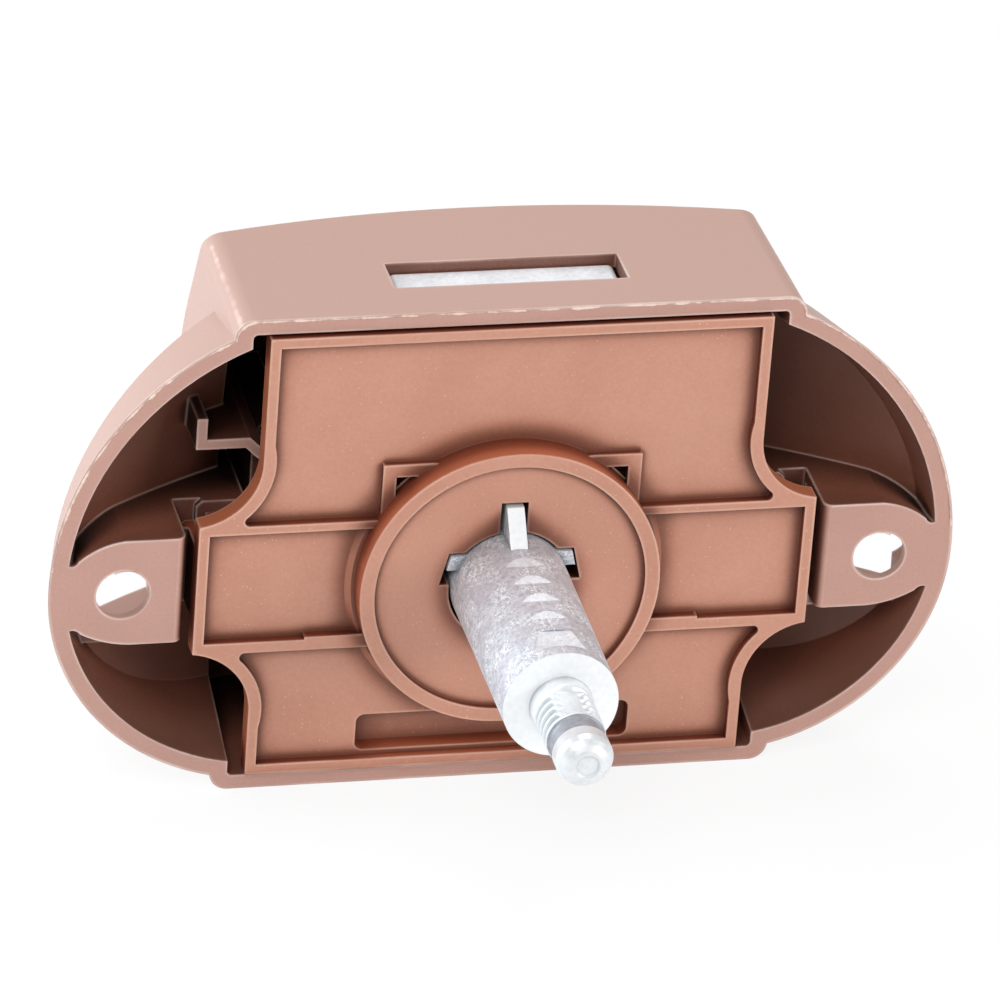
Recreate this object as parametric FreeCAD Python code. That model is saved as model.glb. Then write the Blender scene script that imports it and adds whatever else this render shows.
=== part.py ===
import FreeCAD, Part
import math
import os

# Push-button lock for a cabinet door, in millimetres.
# X runs along the lock, Z up is the way the bolt is thrown, and Y runs away from the door into the
# cabinet. The origin is midway between the two screw holes, on the rim face that meets the door, and
# the spindle lies on the Y axis. The model stands as the lock does when it is open: the spindle is
# out and the bolt is drawn in. Pushing the spindle in by TRAVEL throws the bolt by the same amount.

V = FreeCAD.Vector
X_AXIS = V(1, 0, 0)
Y_AXIS = V(0, 1, 0)
Z_AXIS = V(0, 0, 1)
FAR = 60.0
BEDDING = 0.5

# Outline of the housing on the rim plane
HOUSING_LENGTH = 77.0
BLOCK_WIDTH = 48.1
BLOCK_TOP = 25.1
BLOCK_BOTTOM = -19.3
BLOCK_CORNER = 1.6
UPPER_LOBE_RADIUS = 25.5
LOWER_LOBE_RADIUS = 18.9
LOBE_CENTRE_Z = 0.5

# Walls of the housing, and how far they lean in for each millimetre of depth
SIDE_WALL = 1.5
END_WALL = 1.3
FRONT_WALL = 1.5
DRAFT = 0.02
LOBE_LEAN = 0.243
INNER_CORNER = 0.4

# Domed front of the block and of the two lobes
FRONT_EDGE_DEPTH = 18.5
FRONT_SLOPE = 29.0
CROWN_RADIUS = 28.0
FRONT_SWEEP_RADIUS = 98.0
LOBE_DEPTH = 12.7
LOBE_TIP_DEPTH = 3.2
LOBE_DOME_RADIUS = 80.0
LOBE_CROSS_RADIUS = 65.0
LOBE_CROSS_SWEEP = 42.0
LOBE_OVERLAP = 2.5
LOBE_OVERRUN = 4.0
SWEEP_OVERRUN = 1.5

# Screw lugs
SCREW_PITCH = 64.5
SCREW_HOLE = 4.5
SCREW_HEAD_POCKET = 8.2
POCKET_DRAFT = 0.04
POCKET_SILL = -5.3
POCKET_SILL_WALL = 0.9
POCKET_SILL_FACE = 3.0
POCKET_SILL_REACH = 2.9
LUG_FACE = 0.8
LUG_TOP = 5.05
LUG_BOTTOM = -4.8
LUG_END_ROUND = 0.8
LUG_NOTCH = 0.4
LUG_LIP = 0.2
BAND_GAP = 0.9

# How a lug's edges fall away towards the rim, as (along X from the screw's axis, down from the edge)
LUG_UPPER_FALL = ((0.0, 0.0), (2.2, 0.63), (3.85, 1.75))
LUG_LOWER_FALL = ((-0.75, 0.0), (1.8, 0.5), (3.4, 1.22))

# Travel of the spindle, and of the bolt that its pin throws up a slot at 45 degrees
TRAVEL = 8.0

# Latch bolt
BOLT_WIDTH = 19.2
BOLT_THICKNESS = 3.9
BOLT_FRONT = 5.0
BOLT_BELOW_FACE = 1.1
BOLT_END_ROUND = 0.6
BOLT_BEVEL = 0.8
SLOT_SIDE_GAP = 0.24
SLOT_FACE_GAP = 0.25
CHEEK_THICKNESS = 3.35
CHEEK_FRONT = 3.0
CHEEK_FOOT_TOP = 5.6
CHEEK_DEPTH = 13.2
CHEEK_TOP = 15.0
CHEEK_BOTTOM = -11.4
CHEEK_CORNER = 2.0

# Spindle
SPINDLE_RADIUS = 4.83
SPINDLE_TAPER = 0.12
SHOULDER_Y = -21.1
SPINDLE_BACK = 2.7
TAIL_RADIUS = 3.0
TAIL_LENGTH = 4.8
STUB_BASE_RADIUS = 2.65
STUB_BASE_LENGTH = 1.3
THREAD_RADIUS = 2.5
THREAD_LENGTH = 4.1
NECK_RADIUS = 2.2
NECK_LENGTH = 1.1
TIP_RADIUS = 2.4
TIP_LENGTH = 2.1
TIP_LEAD = 0.2
TIP_BEVEL = 1.3
TIP_END_RADIUS = 1.0

# Fin and ears that key the spindle in its bore
FIN_WIDTH = 1.45
FIN_TOP = 7.6
FIN_LENGTH = 4.5
FIN_FRONT = -2.0
FIN_RAMP = 2.3
EAR_REACH = 5.45
EAR_LEAN = 0.237
EAR_BOTTOM = 1.85
EAR_TOP = 3.15
KEY_GAP = 0.42
KEY_END_GAP = 0.3
EAR_GAP = 0.2
EAR_SLACK_BELOW = 1.45
BORE_GAP = 0.2

# Depth marks cast into the top of the spindle: flats between narrow rungs, and a wedge
MARK_DEPTH = 0.22
MARK_RUNG = 0.3
MARK_SLOPE = 0.7
MARK_PITCH = 2.85
MARK_COUNT = 4
FIRST_MARK_Y = -5.6
WEDGE_MARK_LENGTH = 2.6
WEDGE_MARK_START = 0.15
WEDGE_MARK_DEPTH = 0.5

# Back plate
PLATE_GAP = 0.25
PLATE_FACE = -0.45
PLATE_BACK = 1.35
PANEL_FACE = 0.4
PLATE_HALF_WIDTH = 21.15
BAND_HALF_WIDTH = 26.2
BAND_TOP = 6.15
BAND_BOTTOM = -5.8
CORNER_ARC = 5.8
BORDER_WIDTH = 0.9
CURVED_BORDER_WIDTH = 1.1
PANEL_NOSE_ROUND = 0.45
UPPER_RIB_TOP = 6.1
UPPER_RIB_WIDTH = 0.75
LOWER_RIB_BOTTOM = -5.95
LOWER_RIB_WIDTH = 1.0
RIB_STEP_HALF_WIDTH = 16.8
RIB_STEP = 0.25

# Spigot that fills the door hole
SPIGOT_RADIUS = 12.75
SPIGOT_FACE = -2.3
SPIGOT_RING = 1.25
SPIGOT_RECESS = 0.5
ROOT_FACE = -0.6
ROOT_SPREAD = 0.08
FOOT_TOP = 0.3
FOOT_SPREAD = 0.75
FOOT_FACE = 0.0
WINDOW_MARGIN = 0.2
COLLAR_RADIUS = 8.6
COLLAR_BACK = 2.4

# Frame, windows and pocket beside the spigot
FRAME_HALF_WIDTH = 10.97
FRAME_TOP = 11.1
FRAME_BAR = 1.15
FRAME_FACE = -0.2
WINDOW_HEIGHT = 1.6
POCKET_HALF_WIDTH = 11.7
POCKET_TOP = -13.03
POCKET_BOTTOM = -16.5
POCKET_FLOOR = 1.7
POCKET_CORNER = 0.7
POCKET_SLOPE = 0.3
POCKET_WALL = 0.9
POCKET_MARGIN = 0.2

# Snap tongues, and the towers of the housing that carry the plate
TONGUE_HALF_WIDTH = 3.5
TONGUE_THICKNESS = 0.8
TONGUE_LENGTH = 4.4
TONGUE_INSET = 0.1
HOOK_REACH = 1.15
HOOK_HEIGHT = 1.3
HOOK_UNDERCUT = 0.2
HOOK_ROOM = 0.4
TOWER_INNER_X = 21.0
TOWER_FACE = 6.0
TOWER_CHAMFER = 0.5
TOWER_ROOM = 1.9
BRIDGE_GAP = 0.85
PAD_HALF_HEIGHT = 4.0
PAD_STEP = 0.6
PAD_ROOM = 0.9

# Guide ribs for the bolt, inside the housing and on the back of the plate
GUIDE_GAP = 0.3
GUIDE_RIB = 1.3
GUIDE_FRONT = 3.2
GUIDE_TOP = 10.5
PLATE_RUNNER = 1.6
RUNNER_BOTTOM = -10.0
RUNNER_TOP = 7.5

# Carriage and cross pin
CARRIAGE_GAP = 0.25
CARRIAGE_HALF_HEIGHT = 5.9
CARRIAGE_LENGTH = 6.0
CARRIAGE_CHAMFER = 0.8
FIT_GAP = 0.05
PIN_RADIUS = 1.0
PIN_Y = 5.2
PIN_CHAMFER = 0.25
PIN_SLOT_GAP = 0.2
PIN_END_GAP = 0.3
PIN_HOLE_GAP = 0.02
SLOT_OVERRUN = 0.3
HEAD_CLEARANCE = 0.5

# Return spring
SPRING_RADIUS = 3.7
SPRING_WIRE = 0.4
SPRING_TURNS = 6
ARCS_PER_TURN = 4
SPRING_SEAT_Y = 24.2
SPRING_SEAT_RADIUS = 5.0
SPRING_STUD_RADIUS = 2.6
SPRING_STUD_LENGTH = 1.8
SPRING_END_GAP = 0.1

# Detent wire, and the heart track that it runs in
WIRE_RADIUS = 0.45
WIRE_PIVOT_X = -18.6
WIRE_PIVOT_Y = 9.8
WIRE_Z = 12.4
WIRE_REACH = 10.0
WIRE_BEND = 1.2
WIRE_FOOT_Z = 5.4
WIRE_BORE_GAP = 0.3
WIRE_SWING = 20.0
POST_WIDTH = 3.6
POST_FRONT_WALL = 1.4
POST_TOP = 9.5
POST_BOTTOM = 4.4
TRACK_DEPTH = 1.4
TRACK_GAP = 0.35
TRACK_END_GAP = 0.4
ISLAND_TIP = 0.9
ISLAND_NOTCH = 1.1
ISLAND_CORNER = 0.2

# Bracket rib in the upper left of the housing
BRACKET_FACE = 5.0
BRACKET_WALL = 0.9
BRACKET_LEFT_X = -25.7
BRACKET_STUB_TOP = 13.4
BRACKET_LEG_BOTTOM = 10.5
BRACKET_KNEE_X = -21.5
BRACKET_SLANT = 1.1
BRACKET_KNEE_SHARE = 0.4

# Sizes that follow from the ones above
LUG_INNER_END = BAND_HALF_WIDTH + BAND_GAP
HALF_LENGTH = HOUSING_LENGTH / 2
BLOCK_HALF_WIDTH = BLOCK_WIDTH / 2
BLOCK_MID_Z = (BLOCK_TOP + BLOCK_BOTTOM) / 2
BLOCK_HALF_HEIGHT = (BLOCK_TOP - BLOCK_BOTTOM) / 2
BOLT_HALF_WIDTH = BOLT_WIDTH / 2
BOLT_BACK = BOLT_FRONT + BOLT_THICKNESS
BOLT_TOP = BLOCK_TOP - BOLT_BELOW_FACE
CHEEK_INNER_X = BOLT_HALF_WIDTH - CHEEK_THICKNESS
CHEEK_BACK = CHEEK_FRONT + CHEEK_DEPTH
HEAD_BOTTOM = CARRIAGE_HALF_HEIGHT + HEAD_CLEARANCE
SCREW_X = SCREW_PITCH / 2
PLATE_TOP = BLOCK_TOP - END_WALL - PLATE_GAP
PLATE_BOTTOM = BLOCK_BOTTOM + END_WALL + PLATE_GAP
TAIL_END = SPINDLE_BACK + TAIL_LENGTH
TONGUE_X = BAND_HALF_WIDTH - TONGUE_INSET
HOOK_END = PLATE_BACK + TONGUE_LENGTH
CARRIAGE_BACK = SPINDLE_BACK + CARRIAGE_LENGTH
PIN_HALF_LENGTH = BOLT_HALF_WIDTH - PIN_END_GAP


def box(x0, x1, y0, y1, z0, z1):
    """Box between two corners."""
    return Part.makeBox(x1 - x0, y1 - y0, z1 - z0, V(x0, y0, z0))


def rod_y(radius, y0, y1, x=0.0, z=0.0):
    """Cylinder along Y."""
    return Part.makeCylinder(radius, y1 - y0, V(x, y0, z), Y_AXIS)


def mirrored(shape):
    """Copy of a shape on the other side of the middle plane."""
    return shape.mirror(V(0, 0, 0), X_AXIS)


def both_sides(shape):
    """A shape and its mirror image as a list."""
    return [shape, mirrored(shape)]


def polygon_face(points):
    """Flat face with straight sides."""
    return Part.Face(Part.makePolygon(points + points[:1]))


def plate_along_y(outline, y0, y1):
    """Prism from an outline of (x, z) corners."""
    face = polygon_face([V(x, y0, z) for x, z in outline])
    return face.extrude(V(0, y1 - y0, 0))


def plate_along_x(outline, x0, x1):
    """Prism from an outline of (y, z) corners."""
    face = polygon_face([V(x0, y, z) for y, z in outline])
    return face.extrude(V(x1 - x0, 0, 0))


def rounded_rectangle(x0, x1, z0, z1, radius, y):
    """Closed wire in a plane of constant Y, with four round corners."""
    diagonal = radius * (1 - math.sqrt(0.5))
    corners = (
        (x1, z0, -1, 1),
        (x1, z1, -1, -1),
        (x0, z1, 1, -1),
        (x0, z0, 1, 1),
    )
    edges = []
    ends = []
    for index, (x, z, dx, dz) in enumerate(corners):
        side = V(x, y, z + dz * radius)
        base = V(x + dx * radius, y, z)
        middle = V(x + dx * diagonal, y, z + dz * diagonal)
        start, end = (base, side) if index % 2 == 0 else (side, base)
        edges.append(Part.Arc(start, middle, end).toShape())
        ends.append((start, end))
    lines = []
    for index in range(4):
        after = ends[(index + 1) % 4][0]
        lines.append(Part.makeLine(ends[index][1], after))
    loop = []
    for arc, line in zip(edges, lines):
        loop += [arc, line]
    return Part.Wire(loop)


def block_prism(side_wall, end_wall, corner):
    """Tapering block inside the given walls, from the rim to beyond the front."""
    wires = []
    for y in (0.0, FAR):
        lean = DRAFT * y
        half = BLOCK_HALF_WIDTH - side_wall - lean
        top = BLOCK_TOP - end_wall - lean
        bottom = BLOCK_BOTTOM + end_wall + lean
        wires.append(rounded_rectangle(-half, half, bottom, top, corner, y))
    return Part.makeLoft(wires, True, True)


def block_front(inset):
    """Everything behind the crowned front of the block, which curves both ways."""
    slope = math.radians(FRONT_SLOPE)
    shoulder = CROWN_RADIUS * math.sin(slope)
    rise = CROWN_RADIUS * (1 - math.cos(slope))
    apex = FRONT_EDGE_DEPTH + (BLOCK_HALF_HEIGHT - shoulder) * math.tan(slope) + rise
    centre_y = apex - CROWN_RADIUS
    radius = CROWN_RADIUS - inset
    tangent_y = centre_y + radius * math.cos(slope)
    tangent_z = radius * math.sin(slope)
    end_y = tangent_y - (FAR - tangent_z) * math.tan(slope)
    upper = V(0, tangent_y, BLOCK_MID_Z + tangent_z)
    lower = V(0, tangent_y, BLOCK_MID_Z - tangent_z)
    top = V(0, end_y, BLOCK_MID_Z + FAR)
    bottom = V(0, end_y, BLOCK_MID_Z - FAR)
    edges = [
        Part.makeLine(bottom, lower),
        Part.Arc(lower, V(0, centre_y + radius, BLOCK_MID_Z), upper).toShape(),
        Part.makeLine(upper, top),
        Part.makeLine(top, V(0, -FAR, BLOCK_MID_Z + FAR)),
        Part.makeLine(V(0, -FAR, BLOCK_MID_Z + FAR), V(0, -FAR, BLOCK_MID_Z - FAR)),
        Part.makeLine(V(0, -FAR, BLOCK_MID_Z - FAR), bottom),
    ]
    face = Part.Face(Part.Wire(edges))
    axis_point = V(0, FRONT_EDGE_DEPTH - FRONT_SWEEP_RADIUS, 0)
    half_angle = SWEEP_OVERRUN * math.degrees(math.asin(BLOCK_HALF_WIDTH / FRONT_SWEEP_RADIUS))
    face.rotate(axis_point, Z_AXIS, -half_angle)
    return face.revolve(axis_point, Z_AXIS, 2 * half_angle)


def dome_centre():
    """Centre, in X and Y, of the arc that the lobe's front follows from its tip to the block."""
    tip = (HALF_LENGTH, LOBE_TIP_DEPTH)
    side = (BLOCK_HALF_WIDTH, LOBE_DEPTH)
    middle = ((tip[0] + side[0]) / 2, (tip[1] + side[1]) / 2)
    chord = (side[0] - tip[0], side[1] - tip[1])
    length = math.hypot(*chord)
    offset = math.sqrt(LOBE_DOME_RADIUS ** 2 - (length / 2) ** 2)
    return middle[0] - chord[1] / length * offset, middle[1] + chord[0] / length * offset


def lobe_root():
    """X at which a lobe is buried in the block."""
    return BLOCK_HALF_WIDTH - SIDE_WALL - LOBE_OVERLAP


def lobe_dome(inset):
    """Everything behind the domed front of the right lobe."""
    centre_x, centre_y = dome_centre()
    radius = LOBE_DOME_RADIUS - inset
    first = math.acos((lobe_root() - centre_x) / radius)
    last = math.acos((HALF_LENGTH + 1 - centre_x) / radius)
    arc = []
    for angle in (first, (first + last) / 2, last):
        arc.append(V(centre_x + radius * math.cos(angle), centre_y + radius * math.sin(angle), LOBE_CENTRE_Z))
    start, middle, end = arc
    below_end = V(end.x, -LOBE_DEPTH, LOBE_CENTRE_Z)
    below_start = V(start.x, -LOBE_DEPTH, LOBE_CENTRE_Z)
    edges = [
        Part.Arc(start, middle, end).toShape(),
        Part.makeLine(end, below_end),
        Part.makeLine(below_end, below_start),
        Part.makeLine(below_start, start),
    ]
    face = Part.Face(Part.Wire(edges))
    axis_point = V(0, LOBE_DEPTH - LOBE_CROSS_RADIUS, LOBE_CENTRE_Z)
    face.rotate(axis_point, X_AXIS, -LOBE_CROSS_SWEEP)
    return face.revolve(axis_point, X_AXIS, 2 * LOBE_CROSS_SWEEP)


def lobe_prism(inset):
    """Leaning wall of the right lobe: a large arc above its centre line, a smaller one below."""
    depth = LOBE_DEPTH + LOBE_OVERRUN
    pieces = []
    for full_radius, z0, z1 in (
        (UPPER_LOBE_RADIUS, LOBE_CENTRE_Z, FAR),
        (LOWER_LOBE_RADIUS, -FAR, LOBE_CENTRE_Z),
    ):
        radius = full_radius - inset
        centre = V(HALF_LENGTH - full_radius, 0, LOBE_CENTRE_Z)
        cone = Part.makeCone(radius, radius - LOBE_LEAN * depth, depth, centre, Y_AXIS)
        pieces.append(cone.common(box(lobe_root(), FAR, -1, depth + 1, z0, z1)))
    return pieces[0].fuse(pieces[1])


def housing_form(side_wall, end_wall, front_wall, corner):
    """Closed solid of the housing's shape, drawn in by its walls."""
    block = block_prism(side_wall, end_wall, corner).common(block_front(front_wall))
    lobe = lobe_prism(side_wall).common(lobe_dome(front_wall))
    return block.multiFuse(both_sides(lobe)).removeSplitter()


def lug_edge(fall, edge_z, down):
    """Edge of the lug from its screw to the rim: a falling arc that ends in a small round notch."""
    wall_x = HALF_LENGTH - SIDE_WALL
    start, middle, end = [V(SCREW_X + along, 0, edge_z - down * drop) for along, drop in fall]
    notch = V((end.x + wall_x) / 2, 0, end.z - down * LUG_NOTCH)
    lip = V(wall_x + LUG_LIP, 0, end.z + down * LUG_LIP)
    rim = V(HALF_LENGTH, 0, lip.z)
    edges = [
        Part.Arc(start, middle, end).toShape(),
        Part.Arc(end, notch, lip).toShape(),
        Part.makeLine(lip, rim),
    ]
    return start, edges, rim


def screw_lug():
    """Right screw lug, from its rounded inner end to the rim."""
    top_start, top_edges, top_rim = lug_edge(LUG_UPPER_FALL, LUG_TOP, 1)
    bottom_start, bottom_edges, bottom_rim = lug_edge(LUG_LOWER_FALL, LUG_BOTTOM, -1)
    inner_top = V(LUG_INNER_END, 0, LUG_TOP)
    inner_bottom = V(LUG_INNER_END, 0, LUG_BOTTOM)
    edges = [Part.makeLine(inner_bottom, bottom_start)]
    edges += bottom_edges
    edges.append(Part.makeLine(bottom_rim, top_rim))
    edges += top_edges
    edges.append(Part.makeLine(top_start, inner_top))
    edges.append(Part.makeLine(inner_top, inner_bottom))
    loop = Part.Wire(Part.sortEdges(edges)[0])
    lug = Part.Face(loop).extrude(V(0, LOBE_DEPTH + FRONT_WALL, 0))
    end_edges = []
    for edge in lug.Edges:
        bounds = edge.BoundBox
        flat = bounds.YMax < 0.01 and bounds.XMax < LUG_INNER_END + 0.01
        if flat:
            end_edges.append(edge)
    return lug.makeFillet(LUG_END_ROUND, end_edges)


def bracket_rib():
    """L-shaped rib of one wall thickness that stands in the upper left of the housing."""
    wall = BRACKET_WALL
    left = BRACKET_LEFT_X
    leg = BRACKET_LEG_BOTTOM
    knee = BRACKET_KNEE_X
    slant = BRACKET_SLANT
    outline = [
        (left, BRACKET_STUB_TOP),
        (left, leg),
        (knee, leg),
        (knee + slant, leg - slant),
        (knee + slant + wall * math.sqrt(0.5), leg - slant + wall * math.sqrt(0.5)),
        (knee + BRACKET_KNEE_SHARE * wall, leg + wall),
        (left + wall, leg + wall),
        (left + wall, BRACKET_STUB_TOP),
    ]
    return plate_along_y(outline, BRACKET_FACE, FAR / 2)


def plate_tower():
    """Right tower that carries the end of the plate's band, and the bridge from it to the lug."""
    outer = LUG_INNER_END - TOWER_ROOM
    outline = [
        (TOWER_INNER_X, LUG_BOTTOM),
        (outer - TOWER_CHAMFER, LUG_BOTTOM),
        (outer, LUG_BOTTOM + TOWER_CHAMFER),
        (outer, LUG_TOP - TOWER_CHAMFER),
        (outer - TOWER_CHAMFER, LUG_TOP),
        (TOWER_INNER_X, LUG_TOP),
    ]
    tower = plate_along_y(outline, TOWER_FACE, FAR / 2)
    bridge = box(outer - 1, LUG_INNER_END + 1, HOOK_END + BRIDGE_GAP, FAR / 2, LUG_BOTTOM, LUG_TOP)
    return tower.fuse(bridge)


def pocket_sill():
    """Floor of the right screw head pocket, which lies lower than the lug."""
    inner = SCREW_X - SCREW_HEAD_POCKET / 2 - POCKET_SILL_WALL
    return box(inner, HALF_LENGTH, POCKET_SILL_FACE, FAR / 2, POCKET_SILL - POCKET_SILL_WALL, LUG_BOTTOM)


def guide_rib():
    """Right rib that guides the side of the bolt."""
    inner = BOLT_HALF_WIDTH + GUIDE_GAP
    return box(inner, inner + GUIDE_RIB, GUIDE_FRONT, FAR / 2, -FAR / 2, GUIDE_TOP)


def wire_post():
    """Post that holds the foot of the detent wire."""
    half = POST_WIDTH / 2
    front = WIRE_PIVOT_Y - WIRE_RADIUS - WIRE_BORE_GAP - POST_FRONT_WALL
    post = box(WIRE_PIVOT_X - half, WIRE_PIVOT_X + half, front, FAR / 2, POST_BOTTOM, POST_TOP)
    hole_foot = WIRE_FOOT_Z - WIRE_BORE_GAP
    hole_radius = WIRE_RADIUS + WIRE_BORE_GAP
    hole = Part.makeCylinder(hole_radius, FAR, V(WIRE_PIVOT_X, WIRE_PIVOT_Y, hole_foot), Z_AXIS)
    return post.cut(hole)


def spring_seat():
    """Boss and stud that hold the return spring on the front wall."""
    seat = rod_y(SPRING_SEAT_RADIUS, SPRING_SEAT_Y, FAR / 2)
    stud = rod_y(SPRING_STUD_RADIUS, SPRING_SEAT_Y - SPRING_STUD_LENGTH, SPRING_SEAT_Y + BEDDING)
    return seat.fuse(stud)


def bolt_slot():
    """Cut in the top wall through which the bolt is thrown."""
    half = BOLT_HALF_WIDTH + SLOT_SIDE_GAP
    y0 = BOLT_FRONT - SLOT_FACE_GAP
    y1 = BOLT_BACK + SLOT_FACE_GAP
    return box(-half, half, y0, y1, BLOCK_TOP - 3 * END_WALL, FAR)


def lug_cuts():
    """Screw hole, countersink, screw head pocket and snap recess of the right lug."""
    hole = rod_y(SCREW_HOLE / 2, -1, LUG_FACE + 1, SCREW_X)
    radius = SCREW_HEAD_POCKET / 2
    sink = radius - SCREW_HOLE / 2
    countersink = Part.makeCone(SCREW_HOLE / 2, radius, sink, V(SCREW_X, LUG_FACE, 0), Y_AXIS)
    pocket = Part.makeCone(radius, radius + POCKET_DRAFT * LOBE_DEPTH, LOBE_DEPTH,
                           V(SCREW_X, LUG_FACE + sink, 0), Y_AXIS)
    slot = box(SCREW_X - radius, SCREW_X + POCKET_SILL_REACH, LUG_FACE + sink + BEDDING, FAR, POCKET_SILL, 0)
    recess = box(LUG_INNER_END - 1, TONGUE_X + HOOK_REACH + HOOK_ROOM, HOOK_END - HOOK_HEIGHT - HOOK_ROOM,
                 HOOK_END + HOOK_ROOM, -TONGUE_HALF_WIDTH - HOOK_ROOM, TONGUE_HALF_WIDTH + HOOK_ROOM)
    return [hole, countersink, pocket, slot, recess]


def make_housing():
    """Moulded housing: one shell with its lugs, towers, guide ribs and spring seat."""
    outer = housing_form(0, 0, 0, BLOCK_CORNER)
    inner = housing_form(SIDE_WALL, END_WALL, FRONT_WALL, INNER_CORNER)
    shell = outer.cut(inner)
    inside = [bracket_rib(), wire_post(), spring_seat()]
    for form in (screw_lug(), pocket_sill(), plate_tower(), guide_rib()):
        inside += both_sides(form)
    bedded = [form.common(outer) for form in inside]
    cuts = [bolt_slot()]
    for cut in lug_cuts():
        cuts += both_sides(cut)
    return shell.multiFuse(bedded).cut(Part.makeCompound(cuts)).removeSplitter()


def corner_rods(grow, y0, y1):
    """Rods at the four inner corners of the cross-shaped plate."""
    x = PLATE_HALF_WIDTH + CORNER_ARC
    rods = []
    for z in (BAND_TOP + CORNER_ARC, BAND_BOTTOM - CORNER_ARC):
        rods += both_sides(rod_y(CORNER_ARC + grow, y0, y1, x, z))
    return rods


def cross_plate():
    """Cross-shaped slab with its four hollow corners."""
    tall = box(-PLATE_HALF_WIDTH, PLATE_HALF_WIDTH, PLATE_FACE, PLATE_BACK, PLATE_BOTTOM, PLATE_TOP)
    wide = box(-BAND_HALF_WIDTH, BAND_HALF_WIDTH, PLATE_FACE, PLATE_BACK,
               BAND_BOTTOM - CORNER_ARC, BAND_TOP + CORNER_ARC)
    return tall.fuse(wide).cut(Part.makeCompound(corner_rods(0, -FAR, FAR)))


def panel_flare(edge_z, rod_z, y0, y1):
    """Flared end of a sunk panel, whose two noses are round."""
    turn = PANEL_NOSE_ROUND
    reach = CORNER_ARC + CURVED_BORDER_WIDTH
    rod_x = PLATE_HALF_WIDTH + CORNER_ARC
    centre_z = edge_z + math.copysign(turn, rod_z - edge_z)
    drop = rod_z - centre_z
    centre_x = rod_x - math.sqrt((reach + turn) ** 2 - drop ** 2)
    share = reach / (reach + turn)
    touch_x = rod_x - (rod_x - centre_x) * share
    touch_z = rod_z - drop * share
    low = box(-centre_x, centre_x, y0, y1, min(edge_z, rod_z), max(edge_z, rod_z))
    high = box(-touch_x, touch_x, y0, y1, min(touch_z, rod_z), max(touch_z, rod_z))
    return [low, high] + both_sides(rod_y(turn, y0, y1, centre_x, centre_z))


def panel_recesses():
    """Sunk panels of the plate, which leave its border and cross ribs standing."""
    y0 = PLATE_FACE - 1
    y1 = PANEL_FACE
    half = PLATE_HALF_WIDTH - BORDER_WIDTH
    top = box(-half, half, y0, y1, UPPER_RIB_TOP, PLATE_TOP - BORDER_WIDTH)
    low = box(-half, half, y0, y1, PLATE_BOTTOM + BORDER_WIDTH, LOWER_RIB_BOTTOM)
    flares = panel_flare(UPPER_RIB_TOP, BAND_TOP + CORNER_ARC, y0, y1)
    flares += panel_flare(LOWER_RIB_BOTTOM, BAND_BOTTOM - CORNER_ARC, y0, y1)
    ends = top.multiFuse([low] + flares)
    ends = ends.cut(Part.makeCompound(corner_rods(CURVED_BORDER_WIDTH, -FAR, FAR)))
    band_half = BAND_HALF_WIDTH - BORDER_WIDTH
    band_low = LOWER_RIB_BOTTOM + LOWER_RIB_WIDTH
    band = box(-band_half, band_half, y0, y1, band_low, UPPER_RIB_TOP - UPPER_RIB_WIDTH)
    step = box(-RIB_STEP_HALF_WIDTH, RIB_STEP_HALF_WIDTH, y0, FAR, band_low - 1, band_low + RIB_STEP)
    return [ends, band.cut(step)]


def ear_tab(bottom, top, grow, y0, y1):
    """Right ear between two heights, whose outer side leans in towards its top."""
    outline = [(0.0, bottom)]
    for z in (bottom, top):
        outline.append((EAR_REACH + grow - EAR_LEAN * (z - EAR_BOTTOM), z))
    outline.append((0.0, top))
    return plate_along_y(outline, y0, y1)


def keyed_bore(y0, y1):
    """Bore of the spigot, with its key notch and its two ear notches."""
    radius = SPINDLE_RADIUS + SPINDLE_TAPER + BORE_GAP
    notch_half = FIN_WIDTH / 2 + KEY_GAP
    forms = [box(-notch_half, notch_half, y0, y1, 0, FIN_TOP + KEY_END_GAP)]
    forms += both_sides(ear_tab(EAR_BOTTOM - EAR_SLACK_BELOW, EAR_TOP + EAR_GAP, EAR_GAP, y0, y1))
    return rod_y(radius, y0, y1).multiFuse(forms)


def plate_pocket():
    """Rounded pocket below the spigot, with a sloping lower side."""
    y0 = PANEL_FACE - POCKET_MARGIN
    wide = rounded_rectangle(-POCKET_HALF_WIDTH, POCKET_HALF_WIDTH, POCKET_BOTTOM, POCKET_TOP,
                             POCKET_CORNER, y0)
    deep = rounded_rectangle(-POCKET_HALF_WIDTH, POCKET_HALF_WIDTH, POCKET_BOTTOM + POCKET_SLOPE,
                             POCKET_TOP, POCKET_CORNER, POCKET_FLOOR)
    return Part.makeLoft([wide, deep], True, True)


def snap_tongue():
    """Right snap tongue with its hook, and the pad that rests on the housing's tower."""
    outer = TONGUE_X
    inner = outer - TONGUE_THICKNESS
    outline = [
        (inner, PLATE_BACK - BEDDING),
        (outer, PLATE_BACK - BEDDING),
        (outer, HOOK_END - HOOK_HEIGHT),
        (outer + HOOK_REACH, HOOK_END - HOOK_HEIGHT + HOOK_UNDERCUT),
        (outer, HOOK_END),
        (inner, HOOK_END),
    ]
    corners = [V(x, y, -TONGUE_HALF_WIDTH) for x, y in outline]
    tongue = polygon_face(corners).extrude(V(0, 0, 2 * TONGUE_HALF_WIDTH))
    pad = box(TOWER_INNER_X + PAD_STEP, inner - PAD_ROOM, PLATE_BACK - BEDDING, TOWER_FACE,
              -PAD_HALF_HEIGHT, PAD_HALF_HEIGHT)
    return tongue.fuse(pad)


def plate_runner():
    """Right runner on the back of the plate, on which a cheek of the bolt slides."""
    middle = (CHEEK_INNER_X + BOLT_HALF_WIDTH) / 2
    half = PLATE_RUNNER / 2
    return box(middle - half, middle + half, PLATE_BACK - BEDDING, CHEEK_FRONT - GUIDE_GAP,
               RUNNER_BOTTOM, RUNNER_TOP)


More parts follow.
